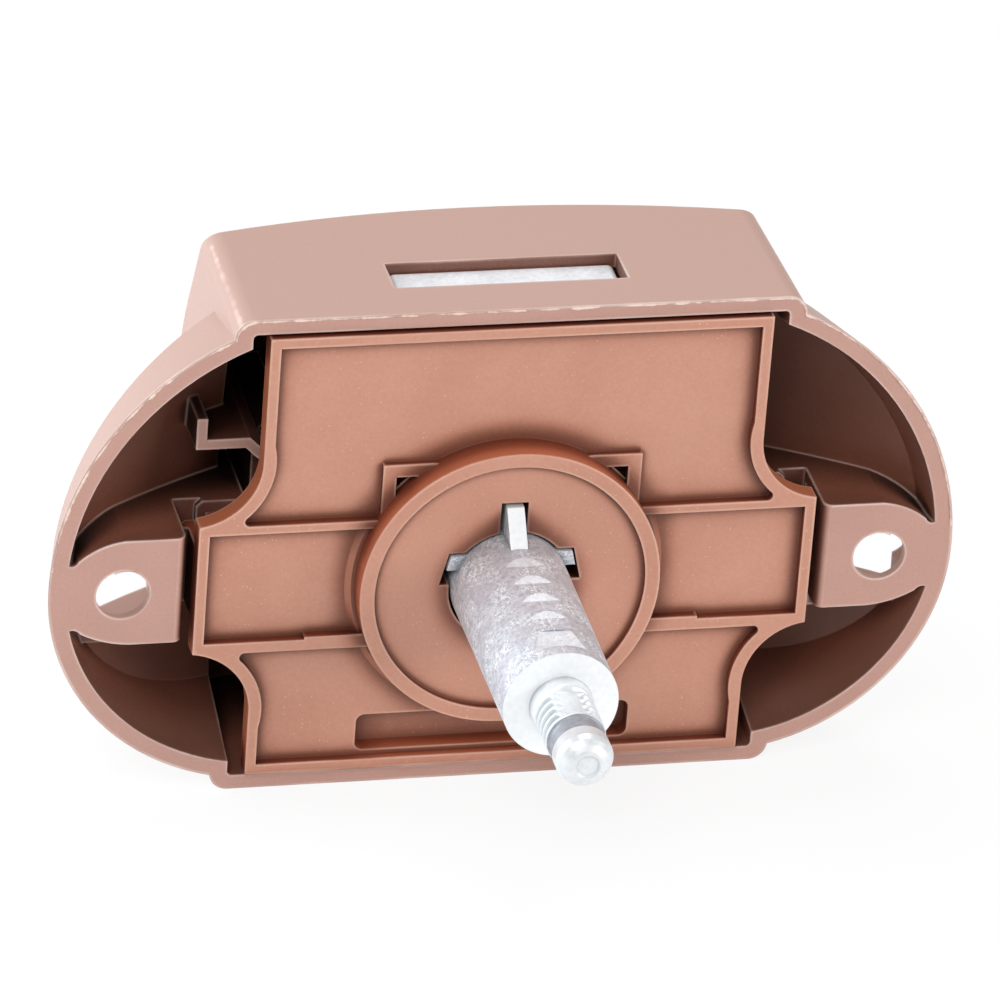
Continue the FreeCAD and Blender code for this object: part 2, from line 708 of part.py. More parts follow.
def make_back_plate():
    """Moulded back plate with the spigot that fills the door hole."""
    slab = cross_plate().cut(Part.makeCompound(panel_recesses()))
    inner_half = FRAME_HALF_WIDTH - FRAME_BAR
    frame = box(-FRAME_HALF_WIDTH, FRAME_HALF_WIDTH, FRAME_FACE, PLATE_BACK, 0, FRAME_TOP)
    frame = frame.cut(box(-inner_half, inner_half, FRAME_FACE - 1, PANEL_FACE, -1,
                          FRAME_TOP - FRAME_BAR))
    foot = Part.makeCone(SPIGOT_RADIUS + FOOT_TOP, SPIGOT_RADIUS + FOOT_SPREAD, PANEL_FACE - FOOT_FACE,
                         V(0, FOOT_FACE, 0), Y_AXIS)
    foot = foot.common(box(-FAR, FAR, FOOT_FACE, PANEL_FACE, -FAR, UPPER_RIB_TOP))
    spigot = rod_y(SPIGOT_RADIUS, SPIGOT_FACE, ROOT_FACE)
    root = Part.makeCone(SPIGOT_RADIUS, SPIGOT_RADIUS + ROOT_SPREAD, PLATE_BACK - ROOT_FACE,
                         V(0, ROOT_FACE, 0), Y_AXIS)
    collar = rod_y(COLLAR_RADIUS, PLATE_BACK - BEDDING, COLLAR_BACK)
    pocket_back = box(-POCKET_HALF_WIDTH - POCKET_WALL, POCKET_HALF_WIDTH + POCKET_WALL,
                      PLATE_BACK - BEDDING, POCKET_FLOOR + POCKET_WALL, POCKET_BOTTOM - POCKET_WALL,
                      POCKET_TOP + POCKET_WALL)
    added = [frame, foot, spigot, root, collar, pocket_back]
    for form in (snap_tongue(), plate_runner()):
        added += both_sides(form)
    plate = slab.multiFuse(added)
    window = box(-inner_half, inner_half, -FAR, FAR, FRAME_TOP - FRAME_BAR - WINDOW_HEIGHT,
                 FRAME_TOP - FRAME_BAR)
    window = window.cut(rod_y(SPIGOT_RADIUS + WINDOW_MARGIN, -FAR, FAR))
    face = rod_y(SPIGOT_RADIUS - SPIGOT_RING, SPIGOT_FACE - 1, SPIGOT_FACE + SPIGOT_RECESS)
    cuts = [window, face, keyed_bore(SPIGOT_FACE - 1, COLLAR_BACK + 1), plate_pocket()]
    return plate.cut(Part.makeCompound(cuts)).removeSplitter()


def stub_profile():
    """Outline, as (radius, y), of the knob stub from the spindle's shoulder to its tip."""
    y = SHOULDER_Y
    outline = [(SPINDLE_RADIUS, y), (STUB_BASE_RADIUS, y)]
    y -= STUB_BASE_LENGTH
    outline.append((THREAD_RADIUS, y))
    y -= THREAD_LENGTH
    outline.append((THREAD_RADIUS, y))
    outline.append((NECK_RADIUS, y))
    y -= NECK_LENGTH
    outline.append((NECK_RADIUS, y))
    outline.append((TIP_RADIUS, y - TIP_LEAD))
    y -= TIP_LENGTH
    outline.append((TIP_RADIUS, y))
    y -= TIP_BEVEL
    outline.append((TIP_END_RADIUS, y))
    outline.append((0.0, y))
    return outline


def spindle_marks():
    """Flats between the rungs on the top of the spindle, and the wedge in front of them."""
    floor = SPINDLE_RADIUS - MARK_DEPTH
    above = SPINDLE_RADIUS + SPINDLE_TAPER + 1
    half = SPINDLE_RADIUS
    marks = []
    for index in range(MARK_COUNT):
        y1 = FIRST_MARK_Y - index * MARK_PITCH - MARK_RUNG
        y0 = FIRST_MARK_Y - (index + 1) * MARK_PITCH
        rise = MARK_SLOPE * (above - floor) / MARK_DEPTH
        outline = [(y0, floor), (y1 - MARK_SLOPE, floor), (y1 - MARK_SLOPE + rise, above), (y0, above)]
        marks.append(plate_along_x(outline, -half, half))
    start = FIRST_MARK_Y - MARK_COUNT * MARK_PITCH - MARK_RUNG
    end = start - WEDGE_MARK_LENGTH
    outline = [
        (start, SPINDLE_RADIUS - WEDGE_MARK_START),
        (start, above),
        (end, above),
        (end, SPINDLE_RADIUS - WEDGE_MARK_DEPTH),
    ]
    marks.append(plate_along_x(outline, -half, half))
    return marks


def make_spindle():
    """Cast spindle, with its knob stub in front and its tail in the carriage."""
    outline = [(0.0, TAIL_END), (TAIL_RADIUS, TAIL_END), (TAIL_RADIUS, SPINDLE_BACK),
               (SPINDLE_RADIUS + SPINDLE_TAPER, SPINDLE_BACK)]
    outline += stub_profile()
    face = polygon_face([V(r, y, 0) for r, y in outline])
    body = face.revolve(V(0, 0, 0), Y_AXIS, 360)
    fin_end = FIN_FRONT + FIN_LENGTH
    ramp_foot = FIN_FRONT - FIN_RAMP
    fin_side = [(ramp_foot, 0), (ramp_foot, SPINDLE_RADIUS), (FIN_FRONT, FIN_TOP), (fin_end, FIN_TOP),
                (fin_end, 0)]
    fin = plate_along_x(fin_side, -FIN_WIDTH / 2, FIN_WIDTH / 2)
    ears = both_sides(ear_tab(EAR_BOTTOM, EAR_TOP, 0, FIN_FRONT, fin_end))
    body = body.multiFuse([fin] + ears)
    pin_hole = Part.makeCylinder(PIN_RADIUS + PIN_HOLE_GAP, FAR, V(-FAR / 2, PIN_Y, 0), X_AXIS)
    cuts = [pin_hole] + spindle_marks()
    return body.cut(Part.makeCompound(cuts)).removeSplitter()


def make_cam_carriage():
    """Moulded carriage that rides with the spindle between the cheeks of the bolt."""
    half = CHEEK_INNER_X - CARRIAGE_GAP
    height = CARRIAGE_HALF_HEIGHT
    chamfer = CARRIAGE_CHAMFER
    outline = [
        (-half, -height + chamfer),
        (-half + chamfer, -height),
        (half - chamfer, -height),
        (half, -height + chamfer),
        (half, height - chamfer),
        (half - chamfer, height),
        (-half + chamfer, height),
        (-half, height - chamfer),
    ]
    body = plate_along_y(outline, SPINDLE_BACK, CARRIAGE_BACK)
    spigot = rod_y(SPRING_STUD_RADIUS, CARRIAGE_BACK - BEDDING, CARRIAGE_BACK + SPRING_STUD_LENGTH)
    bore = rod_y(TAIL_RADIUS + FIT_GAP, SPINDLE_BACK - 1, TAIL_END + FIT_GAP)
    pin_hole = Part.makeCylinder(PIN_RADIUS + PIN_HOLE_GAP, FAR, V(-FAR / 2, PIN_Y, 0), X_AXIS)
    return body.fuse(spigot).cut(Part.makeCompound([bore, pin_hole])).removeSplitter()


def make_cross_pin():
    """Steel pin through the carriage and the spindle's tail, whose ends throw the bolt."""
    length = 2 * PIN_HALF_LENGTH
    pin = Part.makeCylinder(PIN_RADIUS, length, V(-PIN_HALF_LENGTH, PIN_Y, 0), X_AXIS)
    rims = [edge for edge in pin.Edges if edge.BoundBox.XLength < 0.01]
    return pin.makeChamfer(PIN_CHAMFER, rims)


def throw_slot():
    """Slot at 45 degrees through both cheeks, along which the cross pin runs."""
    radius = PIN_RADIUS + PIN_SLOT_GAP
    run = TRAVEL * math.sqrt(2) + 2 * SLOT_OVERRUN
    slot = box(-FAR / 2, FAR / 2, -SLOT_OVERRUN, run - SLOT_OVERRUN, -radius, radius)
    ends = []
    for y in (-SLOT_OVERRUN, run - SLOT_OVERRUN):
        ends.append(Part.makeCylinder(radius, FAR, V(-FAR / 2, y, 0), X_AXIS))
    slot = slot.multiFuse(ends)
    slot.rotate(V(0, 0, 0), X_AXIS, -45)
    slot.translate(V(0, PIN_Y, 0))
    return slot


def heart_track():
    """Track in the outer face of the left cheek, with the heart-shaped island standing in it."""
    lane = WIRE_RADIUS + TRACK_GAP
    swing = math.radians(WIRE_SWING)
    out_y = WIRE_PIVOT_Y + WIRE_REACH * math.sin(swing)
    low_z = WIRE_Z - TRAVEL - lane
    high_z = WIRE_Z + WIRE_RADIUS + TRACK_END_GAP
    x0 = -BOLT_HALF_WIDTH
    track = box(x0 - 1, x0 + TRACK_DEPTH, WIRE_PIVOT_Y - lane, out_y + lane, low_z, high_z)
    left = WIRE_PIVOT_Y + lane
    right = out_y - lane - TRACK_GAP / 2
    middle = (left + right) / 2
    top = WIRE_Z - WIRE_RADIUS - TRACK_END_GAP
    foot = WIRE_Z - TRAVEL + lane
    outline = [
        (middle, top),
        (left, top - 2 * ISLAND_TIP),
        (left, foot + ISLAND_TIP),
        (left + ISLAND_CORNER, foot),
        (middle, foot + ISLAND_NOTCH),
        (right - ISLAND_CORNER, foot),
        (right, foot + ISLAND_TIP),
        (right, top - 2 * ISLAND_TIP),
    ]
    return track.cut(plate_along_x(outline, x0 - 2, x0 + TRACK_DEPTH + 1))


def bolt_cheek():
    """Right cheek of the bolt."""
    cut = CHEEK_CORNER
    outline = [
        (CHEEK_FRONT, CHEEK_BOTTOM + cut / 2),
        (CHEEK_FRONT + cut / 2, CHEEK_BOTTOM),
        (CHEEK_BACK - cut, CHEEK_BOTTOM),
        (CHEEK_BACK, CHEEK_BOTTOM + cut),
        (CHEEK_BACK, CHEEK_TOP - cut),
        (CHEEK_BACK - cut, CHEEK_TOP),
        (BOLT_FRONT, CHEEK_TOP),
        (BOLT_FRONT, CHEEK_FOOT_TOP),
        (CHEEK_FRONT, CHEEK_FOOT_TOP),
    ]
    return plate_along_x(outline, CHEEK_INNER_X, BOLT_HALF_WIDTH)


def make_latch_bolt():
    """Cast bolt: a flat head that leaves the slot, on two cheeks that straddle the carriage."""
    half = BOLT_HALF_WIDTH
    head = box(-half, half, BOLT_FRONT, BOLT_BACK, HEAD_BOTTOM, BOLT_TOP)
    corners = []
    for edge in head.Edges:
        bounds = edge.BoundBox
        if bounds.ZMin > BOLT_TOP - 0.01 and bounds.XLength < 0.01:
            corners.append(edge)
    head = head.makeFillet(BOLT_END_ROUND, corners)
    bevel = [(BOLT_FRONT - 1, BOLT_TOP - BOLT_BEVEL - 1), (BOLT_FRONT + BOLT_BEVEL + 1, BOLT_TOP + 1),
             (BOLT_FRONT - 1, BOLT_TOP + 1)]
    head = head.cut(plate_along_x(bevel, -FAR / 2, FAR / 2))
    bolt = head.multiFuse(both_sides(bolt_cheek()))
    return bolt.cut(Part.makeCompound([throw_slot(), heart_track()])).removeSplitter()


def helix_point(angle, pitch):
    """Point of the spring's centre line and the direction of the wire there."""
    point = V(SPRING_RADIUS * math.cos(angle), pitch * angle / (2 * math.pi), SPRING_RADIUS * math.sin(angle))
    heading = V(-math.sin(angle), pitch / (2 * math.pi * SPRING_RADIUS), math.cos(angle))
    return point, heading.normalize()


def tangent_arc(start, heading, end):
    """Arc between two points that leaves the first in the given direction."""
    chord = end - start
    angle = heading.getAngle(chord)
    bulge = heading - chord * (heading.dot(chord) / chord.dot(chord))
    middle = start + chord * 0.5 - bulge.normalize() * (-0.5 * chord.Length * math.tan(angle / 2))
    return Part.Arc(start, middle, end).toShape()


def biarc(start, heading, end, end_heading):
    """Two arcs that meet smoothly and keep the direction at both ends."""
    chord = end - start
    both = heading + end_heading
    square = 2 * (heading.dot(end_heading) - 1)
    linear = -2 * chord.dot(both)
    reach = (-linear - math.sqrt(linear ** 2 - 4 * square * chord.dot(chord))) / (2 * square)
    joint = (start + heading * reach + end - end_heading * reach) * 0.5
    return [tangent_arc(start, heading, joint), tangent_arc(end, end_heading * -1, joint)]


def least_gap(points, skip):
    """Smallest gap between turns of the wire, measured on points of its centre line."""
    gaps = []
    for index, point in enumerate(points):
        for other in points[index + skip:]:
            gaps.append(point.distanceToPoint(other))
    return min(gaps) - 2 * SPRING_WIRE


def make_return_spring():
    """Compression spring between the carriage and the front wall, as one unbroken tube."""
    start = CARRIAGE_BACK + SPRING_END_GAP + SPRING_WIRE
    end = SPRING_SEAT_Y - SPRING_END_GAP - SPRING_WIRE
    pitch = (end - start) / SPRING_TURNS
    step = 2 * math.pi / ARCS_PER_TURN
    edges = []
    for index in range(SPRING_TURNS * ARCS_PER_TURN):
        here = helix_point(index * step, pitch)
        there = helix_point((index + 1) * step, pitch)
        edges += biarc(*here, *there)
    first, heading = helix_point(0.0, pitch)
    section = Part.Wire(Part.makeCircle(SPRING_WIRE, first, heading))
    shell = Part.BRepOffsetAPI.MakePipeShell(Part.Wire(edges))
    shell.add(section)
    shell.build()
    shell.makeSolid()
    spring = shell.shape()
    spring.translate(V(0, start, 0))
    per_turn = 36
    points = [helix_point(2 * math.pi * i / per_turn, pitch)[0] for i in range(SPRING_TURNS * per_turn + 1)]
    print("return spring: least gap between turns %.2f mm" % least_gap(points, per_turn // 2))
    return spring


def make_detent_wire():
    """Bent spring wire: a foot that turns in its post and an arm that runs in the track."""
    corner_z = WIRE_Z - WIRE_BEND
    foot = Part.makeCylinder(WIRE_RADIUS, corner_z - WIRE_FOOT_Z,
                             V(WIRE_PIVOT_X, WIRE_PIVOT_Y, WIRE_FOOT_Z), Z_AXIS)
    arm_x = WIRE_PIVOT_X + WIRE_BEND
    arm = Part.makeCylinder(WIRE_RADIUS, WIRE_REACH - WIRE_BEND,
                            V(arm_x, WIRE_PIVOT_Y, WIRE_Z), X_AXIS)
    circle = Part.makeCircle(WIRE_RADIUS, V(WIRE_PIVOT_X, WIRE_PIVOT_Y, corner_z), Z_AXIS)
    disc = Part.Face(Part.Wire(circle))
    bend = disc.revolve(V(arm_x, WIRE_PIVOT_Y, corner_z), Y_AXIS, 90)
    return foot.multiFuse([bend, arm]).removeSplitter()


PARTS = {
    "housing": make_housing,
    "back_plate": make_back_plate,
    "spindle": make_spindle,
    "cam_carriage": make_cam_carriage,
    "cross_pin": make_cross_pin,
    "latch_bolt": make_latch_bolt,
    "return_spring": make_return_spring,
    "detent_wire": make_detent_wire,
}


def main():
    """Build each piece and write it to its own file."""
    os.makedirs("parts", exist_ok=True)
    for name, make in PARTS.items():
        shape = make()
        solids = shape.Solids
        state = "valid" if shape.isValid() else "not valid"
        print("%s: %d solid, %.1f mm3, %s" % (name, len(solids), shape.Volume, state))
        shape = solids[0] if len(solids) == 1 else shape
        shape.exportStep(os.path.join("parts", name + ".step"))


main()
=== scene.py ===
# %% [markdown]
# # A push-button cabinet lock, dressed for its portrait
# The imported CAD model is the frame of this scene. Every node is already in its place, in metres, so
# this script only adds what solids leave out: how each surface was made, with painted light and shade
# in places, the thread on the knob's stub, a wound return spring, torn flash on the rim, and the
# studio around it all.

# %% Load the frame
import math

import bmesh
import bpy
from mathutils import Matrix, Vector


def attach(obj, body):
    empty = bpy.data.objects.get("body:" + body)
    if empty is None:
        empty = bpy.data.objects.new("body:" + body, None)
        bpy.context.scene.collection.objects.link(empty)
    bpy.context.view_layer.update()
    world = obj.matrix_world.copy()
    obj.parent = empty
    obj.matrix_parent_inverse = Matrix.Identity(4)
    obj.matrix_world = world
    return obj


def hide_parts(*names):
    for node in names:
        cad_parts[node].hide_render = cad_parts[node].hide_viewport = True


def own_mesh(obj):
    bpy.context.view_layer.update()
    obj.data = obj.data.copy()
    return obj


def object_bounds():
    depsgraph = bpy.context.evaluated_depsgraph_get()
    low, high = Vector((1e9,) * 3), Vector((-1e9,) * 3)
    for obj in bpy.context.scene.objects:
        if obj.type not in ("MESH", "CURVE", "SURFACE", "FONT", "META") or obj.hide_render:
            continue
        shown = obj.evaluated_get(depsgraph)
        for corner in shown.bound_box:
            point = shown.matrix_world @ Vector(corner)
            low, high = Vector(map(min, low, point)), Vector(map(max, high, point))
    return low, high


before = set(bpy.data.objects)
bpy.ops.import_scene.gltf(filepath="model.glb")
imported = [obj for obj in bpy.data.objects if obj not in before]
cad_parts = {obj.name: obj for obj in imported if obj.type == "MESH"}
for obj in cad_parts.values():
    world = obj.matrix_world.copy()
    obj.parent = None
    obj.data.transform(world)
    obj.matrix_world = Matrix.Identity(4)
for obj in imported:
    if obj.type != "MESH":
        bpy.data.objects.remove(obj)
cad_low, cad_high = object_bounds()
print("CAD box:", [round(v, 5) for v in (*cad_low, *cad_high)])

# %% [markdown]
# ## Colours and nodes
# Colours are written as sRGB hex values, as a paint chart gives them, and one function turns them
# into the linear numbers that shaders use. One more function adds a node with its settings and links,
# and a few short ones stand for the nodes that come again and again, so that a material reads as a
# short list of what it is made of.

# %% Helpers for every material
def linear(hex_colour):
    """Linear RGBA from an sRGB hex value."""
    colour = []
    for start in (1, 3, 5):
        level = int(hex_colour[start:start + 2], 16) / 255
        colour.append(level / 12.92 if level <= 0.04045 else ((level + 0.055) / 1.055) ** 2.4)
    return (*colour, 1.0)


def add_node(tree, kind, inputs=None, **settings):
    """Add a node; each input gets a plain value or a link from another node's output."""
    node = tree.nodes.new(kind)
    for name, value in settings.items():
        setattr(node, name, value)
    for key, value in (inputs or {}).items():
        if isinstance(value, bpy.types.NodeSocket):
            tree.links.new(value, node.inputs[key])
        else:
            node.inputs[key].default_value = value
    return node


def per_metre(size_mm):
    """Scale of a pattern whose features are about this many millimetres across."""
    return 1000.0 / size_mm


def new_material(name):
    """An empty node material and its tree."""
    material = bpy.data.materials.new(name)
    material.use_nodes = True
    material.node_tree.nodes.clear()
    return material, material.node_tree


MIX_A, MIX_B, MIX_RESULT = 6, 7, 2


def mix_colour(tree, share, first, second, blend="MIX"):
    """Mix of two colours, as the socket that gives it."""
    inputs = {0: share, MIX_A: first, MIX_B: second}
    return add_node(tree, "ShaderNodeMix", inputs, data_type="RGBA", blend_type=blend).outputs[MIX_RESULT]


def remap(tree, value, low, high, to_low=0.0, to_high=1.0):
    """A value stretched from one range to another and held there."""
    inputs = {"Value": value, "From Min": low, "From Max": high, "To Min": to_low, "To Max": to_high}
    return add_node(tree, "ShaderNodeMapRange", inputs).outputs[0]


def ramp(tree, value, stops):
    """Colour that a value picks from stops of (place, hex colour)."""
    node = add_node(tree, "ShaderNodeValToRGB", {"Fac": value})
    elements = node.color_ramp.elements
    elements.remove(elements[1])
    elements[0].position = stops[0][0]
    elements[0].color = linear(stops[0][1])
    for place, colour in stops[1:]:
        elements.new(place).color = linear(colour)
    return node.outputs["Color"]


def product(tree, first, second):
    """Two values multiplied."""
    return add_node(tree, "ShaderNodeMath", {0: first, 1: second}, operation="MULTIPLY").outputs[0]


# %% [markdown]
# ## Moulded plastic
# The housing and the back plate are injection moulded, most likely in nylon, from two batches of
# brown: the housing is a dull pink-brown, the plate a warmer orange-brown. The mould gives a fine
# spark-eroded grain and thin pale flash along the sharp edges, and the pale edge lines are also a
# painted highlight. The recesses of the photographed lock are far darker than its faces, so painted
# shade goes into them: the share of open sky that a point sees picks a tint from a ramp, mostly dark
# with a paler band in the middle. Inside the shell a faint pale line along the inner corners is a
# painted highlight, as if small fillets there caught the light. Faces that look sideways take a tint
# of their own by the way they face: painted shade on the plate's walls, painted light on the shell.

# %% Plastic
EDGE_WIDTH = 0.00018
FLASH_AND_HIGHLIGHT_REACH = 0.0003
CORNER_HIGHLIGHT_REACH = 0.0003
CLOUD_MM = 9.0
SPECK_MM = 0.32
GRAIN_DEPTH = 0.00004
NYLON_IOR = 1.48
# Painted shade for recesses: tints picked by the share of open sky, dark where little sky is seen.
SHELL_PAINTED_SHADE = (
    (0.12, "#2C2522"), (0.20, "#4A3B35"), (0.30, "#876859"), (0.39, "#C09B89"), (0.46, "#947466"),
    (0.64, "#A38D83"), (0.72, "#887770"), (0.84, "#8C6A5A"), (0.92, "#C2B2AB"), (0.985, "#FFFFFF"),
)
PLATE_PAINTED_SHADE = (
    (0.10, "#4A2F25"), (0.45, "#8A6656"), (0.72, "#AE988C"), (0.84, "#EDE0DA"), (0.95, "#FFFFFF"),
)


def moulded_plastic(name, face, shade, flash, painted_shade_stops=None, reach=0.03, alone=True, side=None,
                    grain_mm=0.25, speck_share=0.0, flash_and_highlight_level=0.75, corner_highlight_level=0.0, roughness=0.5):
    """Satin moulded plastic with grain, edge flash, painted highlights and painted shade."""
    material, tree = new_material(name)
    coordinates = add_node(tree, "ShaderNodeTexCoord").outputs
    place = coordinates["Object"]
    cloud = add_node(tree, "ShaderNodeTexNoise",
                     {"Vector": place, "Scale": per_metre(CLOUD_MM), "Detail": 3.0}).outputs["Fac"]
    grain = add_node(tree, "ShaderNodeTexNoise",
                     {"Vector": place, "Scale": per_metre(grain_mm), "Detail": 4.0}).outputs["Fac"]
    colour = mix_colour(tree, remap(tree, cloud, 0.35, 0.65), linear(face), linear(shade))
    colour = mix_colour(tree, remap(tree, grain, 0.3, 0.7, 0.0, 0.12), colour, linear(shade), "MULTIPLY")
    if speck_share:
        cells = add_node(tree, "ShaderNodeTexVoronoi",
                         {"Vector": place, "Scale": per_metre(SPECK_MM), "Randomness": 1.0})
        dot = remap(tree, cells.outputs["Distance"], 0.08, 0.22, 1.0, 0.0)
        lot = add_node(tree, "ShaderNodeSeparateColor", {"Color": cells.outputs["Color"]}).outputs["Red"]
        kept = remap(tree, lot, speck_share, speck_share + 0.02, 0.8, 0.0)
        cluster = remap(tree, cloud, 0.42, 0.6, 0.1, 1.0)
        colour = mix_colour(tree, product(tree, product(tree, dot, kept), cluster), colour, linear(flash))
    # Painted light and shade by facing: faces that look sideways take the side tint, darker on the plate,
    # paler on the shell.
    if side:
        facing = add_node(tree, "ShaderNodeSeparateXYZ", {"Vector": coordinates["Normal"]}).outputs["Y"]
        flat = add_node(tree, "ShaderNodeMath", {0: facing}, operation="ABSOLUTE").outputs[0]
        colour = mix_colour(tree, remap(tree, flat, 0.5, 0.9, 1.0, 0.0), colour, linear(side))
    # Painted shade: the share of open sky picks a tint that darkens the colour, with a paler band as
    # painted light.
    if painted_shade_stops:
        open_sky = add_node(tree, "ShaderNodeAmbientOcclusion", {"Distance": reach}, samples=16,
                            only_local=alone).outputs["AO"]
        colour = mix_colour(tree, 1.0, colour, ramp(tree, open_sky, painted_shade_stops), "MULTIPLY")
    # Painted highlight: a faint pale line where inner corners shut out the sky within a short reach.
    if corner_highlight_level:
        corner = add_node(tree, "ShaderNodeAmbientOcclusion", {"Distance": CORNER_HIGHLIGHT_REACH}, samples=8,
                          only_local=True).outputs["AO"]
        colour = mix_colour(tree, remap(tree, corner, 0.6, 0.85, corner_highlight_level, 0.0), colour, linear(flash))
    # Pale lines on sharp edges: partly mould flash, partly a painted highlight.
    edge = add_node(tree, "ShaderNodeAmbientOcclusion", {"Distance": FLASH_AND_HIGHLIGHT_REACH}, samples=8, inside=True)
    rim = remap(tree, edge.outputs["AO"], 0.62, 0.9, 1.0, 0.0)
    flash_and_highlight_share = product(tree, rim, remap(tree, cloud, 0.4, 0.6, flash_and_highlight_level / 3, flash_and_highlight_level))
    colour = mix_colour(tree, flash_and_highlight_share, colour, linear(flash))
    soft_edge = add_node(tree, "ShaderNodeBevel", {"Radius": EDGE_WIDTH}, samples=6)
    bump = add_node(tree, "ShaderNodeBump", {"Height": grain, "Strength": 0.25, "Distance": GRAIN_DEPTH,
                                             "Normal": soft_edge.outputs["Normal"]})
    gloss = remap(tree, grain, 0.3, 0.7, roughness - 0.06, roughness + 0.06)
    shader = add_node(tree, "ShaderNodeBsdfPrincipled",
                      {"Base Color": colour, "Roughness": gloss, "IOR": NYLON_IOR,
                       "Normal": bump.outputs[0]})
    add_node(tree, "ShaderNodeOutputMaterial", {"Surface": shader.outputs[0]})
    return material


shell_plastic = moulded_plastic(
    "Moulded pink-brown nylon", "#BB9184", "#B68C7F", "#E6CFC6", side="#BA968A", roughness=0.46)
shaded_hollow_plastic = moulded_plastic(
    "Moulded pink-brown nylon, painted shade inside the shell", "#C69E91", "#BF9383", "#D9B9AC",
    painted_shade_stops=SHELL_PAINTED_SHADE, corner_highlight_level=0.4, roughness=0.44)
plate_plastic = moulded_plastic(
    "Moulded orange-brown nylon", "#C38E78", "#BC8670", "#EFC4AE", painted_shade_stops=PLATE_PAINTED_SHADE, reach=0.003,
    alone=False, side="#B96B4B", grain_mm=0.3, speck_share=0.16, flash_and_highlight_level=0.5, roughness=0.5)
carriage_plastic = moulded_plastic(
    "Moulded black acetal", "#2C2927", "#262422", "#4A4644", roughness=0.4)
print("plastics:", shell_plastic.name, "/", plate_plastic.name, "/", carriage_plastic.name)

# %% [markdown]
# ## Cast zinc
# The spindle and the bolt are die-cast zinc. Hot metal chills against the steel die and leaves a
# skin of fine wrinkles, a net of pale lines round duller islands, and where the two die halves met
# there is a thin line. A cast skin is part oxide, so it counts as less than half metallic: it stays
# pale where a polished bar would mirror the brown plate. The tumbled stub is paler and smoother than
# the skin. The shoulder, the fin's top and front slope, and faces that turn up and a little forward
# take paler copies of the zinc as painted light, and the neck takes a darker copy as painted shade in
# its groove. Near recesses the zinc gets painted shade.

# %% Zinc
SEAM_END_Y = -0.0045
SEAM_TAPER = 0.0003
SEAM_CORE, SEAM_EDGE = 0.00002, 0.00009
ZINC_SHADE_REACH = 0.0008
SWIRL_MM, MOTTLE_MM, FINE_MM = 1.0, 2.4, 0.5
SWIRL_REACH = 0.002
CAST_EDGE_WIDTH = 0.00015
# Painted shade near the zinc's recesses: tints picked by the share of open sky within a short reach.
ZINC_PAINTED_SHADE = ((0.35, "#8C8F93"), (0.75, "#DADCDE"), (0.93, "#FFFFFF"))
STUB_PAINTED_SHADE = ((0.35, "#B2B7BB"), (0.75, "#E4E7E9"), (0.92, "#FFFFFF"))


def cast_zinc(name, bright, dull, net_mm, net_share, depth, roughness, metallic, painted_shade_stops=None, seam=False):
    """Die-cast zinc: a metal skin with chill wrinkles, mottled dull and bright, painted shade if given."""
    material, tree = new_material(name)
    place = add_node(tree, "ShaderNodeTexCoord").outputs["Object"]
    swirl = add_node(tree, "ShaderNodeTexNoise",
                     {"Vector": place, "Scale": per_metre(SWIRL_MM), "Detail": 4.0, "Roughness": 0.6})
    shifted = add_node(tree, "ShaderNodeVectorMath",
                       {0: swirl.outputs["Color"], 1: (SWIRL_REACH,) * 3}, operation="MULTIPLY")
    bent = add_node(tree, "ShaderNodeVectorMath", {0: place, 1: shifted.outputs[0]}, operation="ADD")
    cells = add_node(tree, "ShaderNodeTexVoronoi",
                     {"Vector": bent.outputs[0], "Scale": per_metre(net_mm)}, feature="DISTANCE_TO_EDGE")
    mottle = add_node(tree, "ShaderNodeTexNoise",
                      {"Vector": place, "Scale": per_metre(MOTTLE_MM), "Detail": 4.0}).outputs["Fac"]
    fine = add_node(tree, "ShaderNodeTexNoise",
                    {"Vector": place, "Scale": per_metre(FINE_MM), "Detail": 5.0,
                     "Roughness": 0.65}).outputs["Fac"]
    net = product(tree, remap(tree, cells.outputs["Distance"], 0.01, 0.09, 1.0, 0.0),
                  remap(tree, mottle, 0.44, 0.58, 0.2 * net_share, net_share))
    colour = mix_colour(tree, remap(tree, fine, 0.34, 0.66), linear(dull), linear(bright))
    colour = mix_colour(tree, net, colour, linear("#FFFFFF"))
    # Painted shade near recesses.
    if painted_shade_stops:
        near = add_node(tree, "ShaderNodeAmbientOcclusion", {"Distance": ZINC_SHADE_REACH}, samples=8,
                        only_local=True).outputs["AO"]
        colour = mix_colour(tree, 1.0, colour, ramp(tree, near, painted_shade_stops), "MULTIPLY")
    height = add_node(tree, "ShaderNodeMath", {0: fine, 1: net}, operation="ADD").outputs[0]
    if seam:
        axes = add_node(tree, "ShaderNodeSeparateXYZ", {"Vector": place})
        offset = add_node(tree, "ShaderNodeMath", {0: axes.outputs["X"]}, operation="ABSOLUTE").outputs[0]
        line = product(tree, remap(tree, offset, SEAM_CORE, SEAM_EDGE, 0.45, 0.0),
                       remap(tree, axes.outputs["Y"], SEAM_END_Y - SEAM_TAPER, SEAM_END_Y, 1.0, 0.0))
        colour = mix_colour(tree, line, colour, linear("#FFFFFF"))
        height = add_node(tree, "ShaderNodeMath", {0: height, 1: line}, operation="ADD").outputs[0]
    soft_edge = add_node(tree, "ShaderNodeBevel", {"Radius": CAST_EDGE_WIDTH}, samples=6)
    bump = add_node(tree, "ShaderNodeBump", {"Height": height, "Strength": 0.6, "Distance": depth,
                                             "Normal": soft_edge.outputs["Normal"]})
    gloss = remap(tree, mottle, 0.3, 0.7, roughness - 0.08, roughness + 0.1)
    shader = add_node(tree, "ShaderNodeBsdfPrincipled",
                      {"Base Color": colour, "Metallic": metallic, "Roughness": gloss,
                       "Normal": bump.outputs[0]})
    add_node(tree, "ShaderNodeOutputMaterial", {"Surface": shader.outputs[0]})
    return material


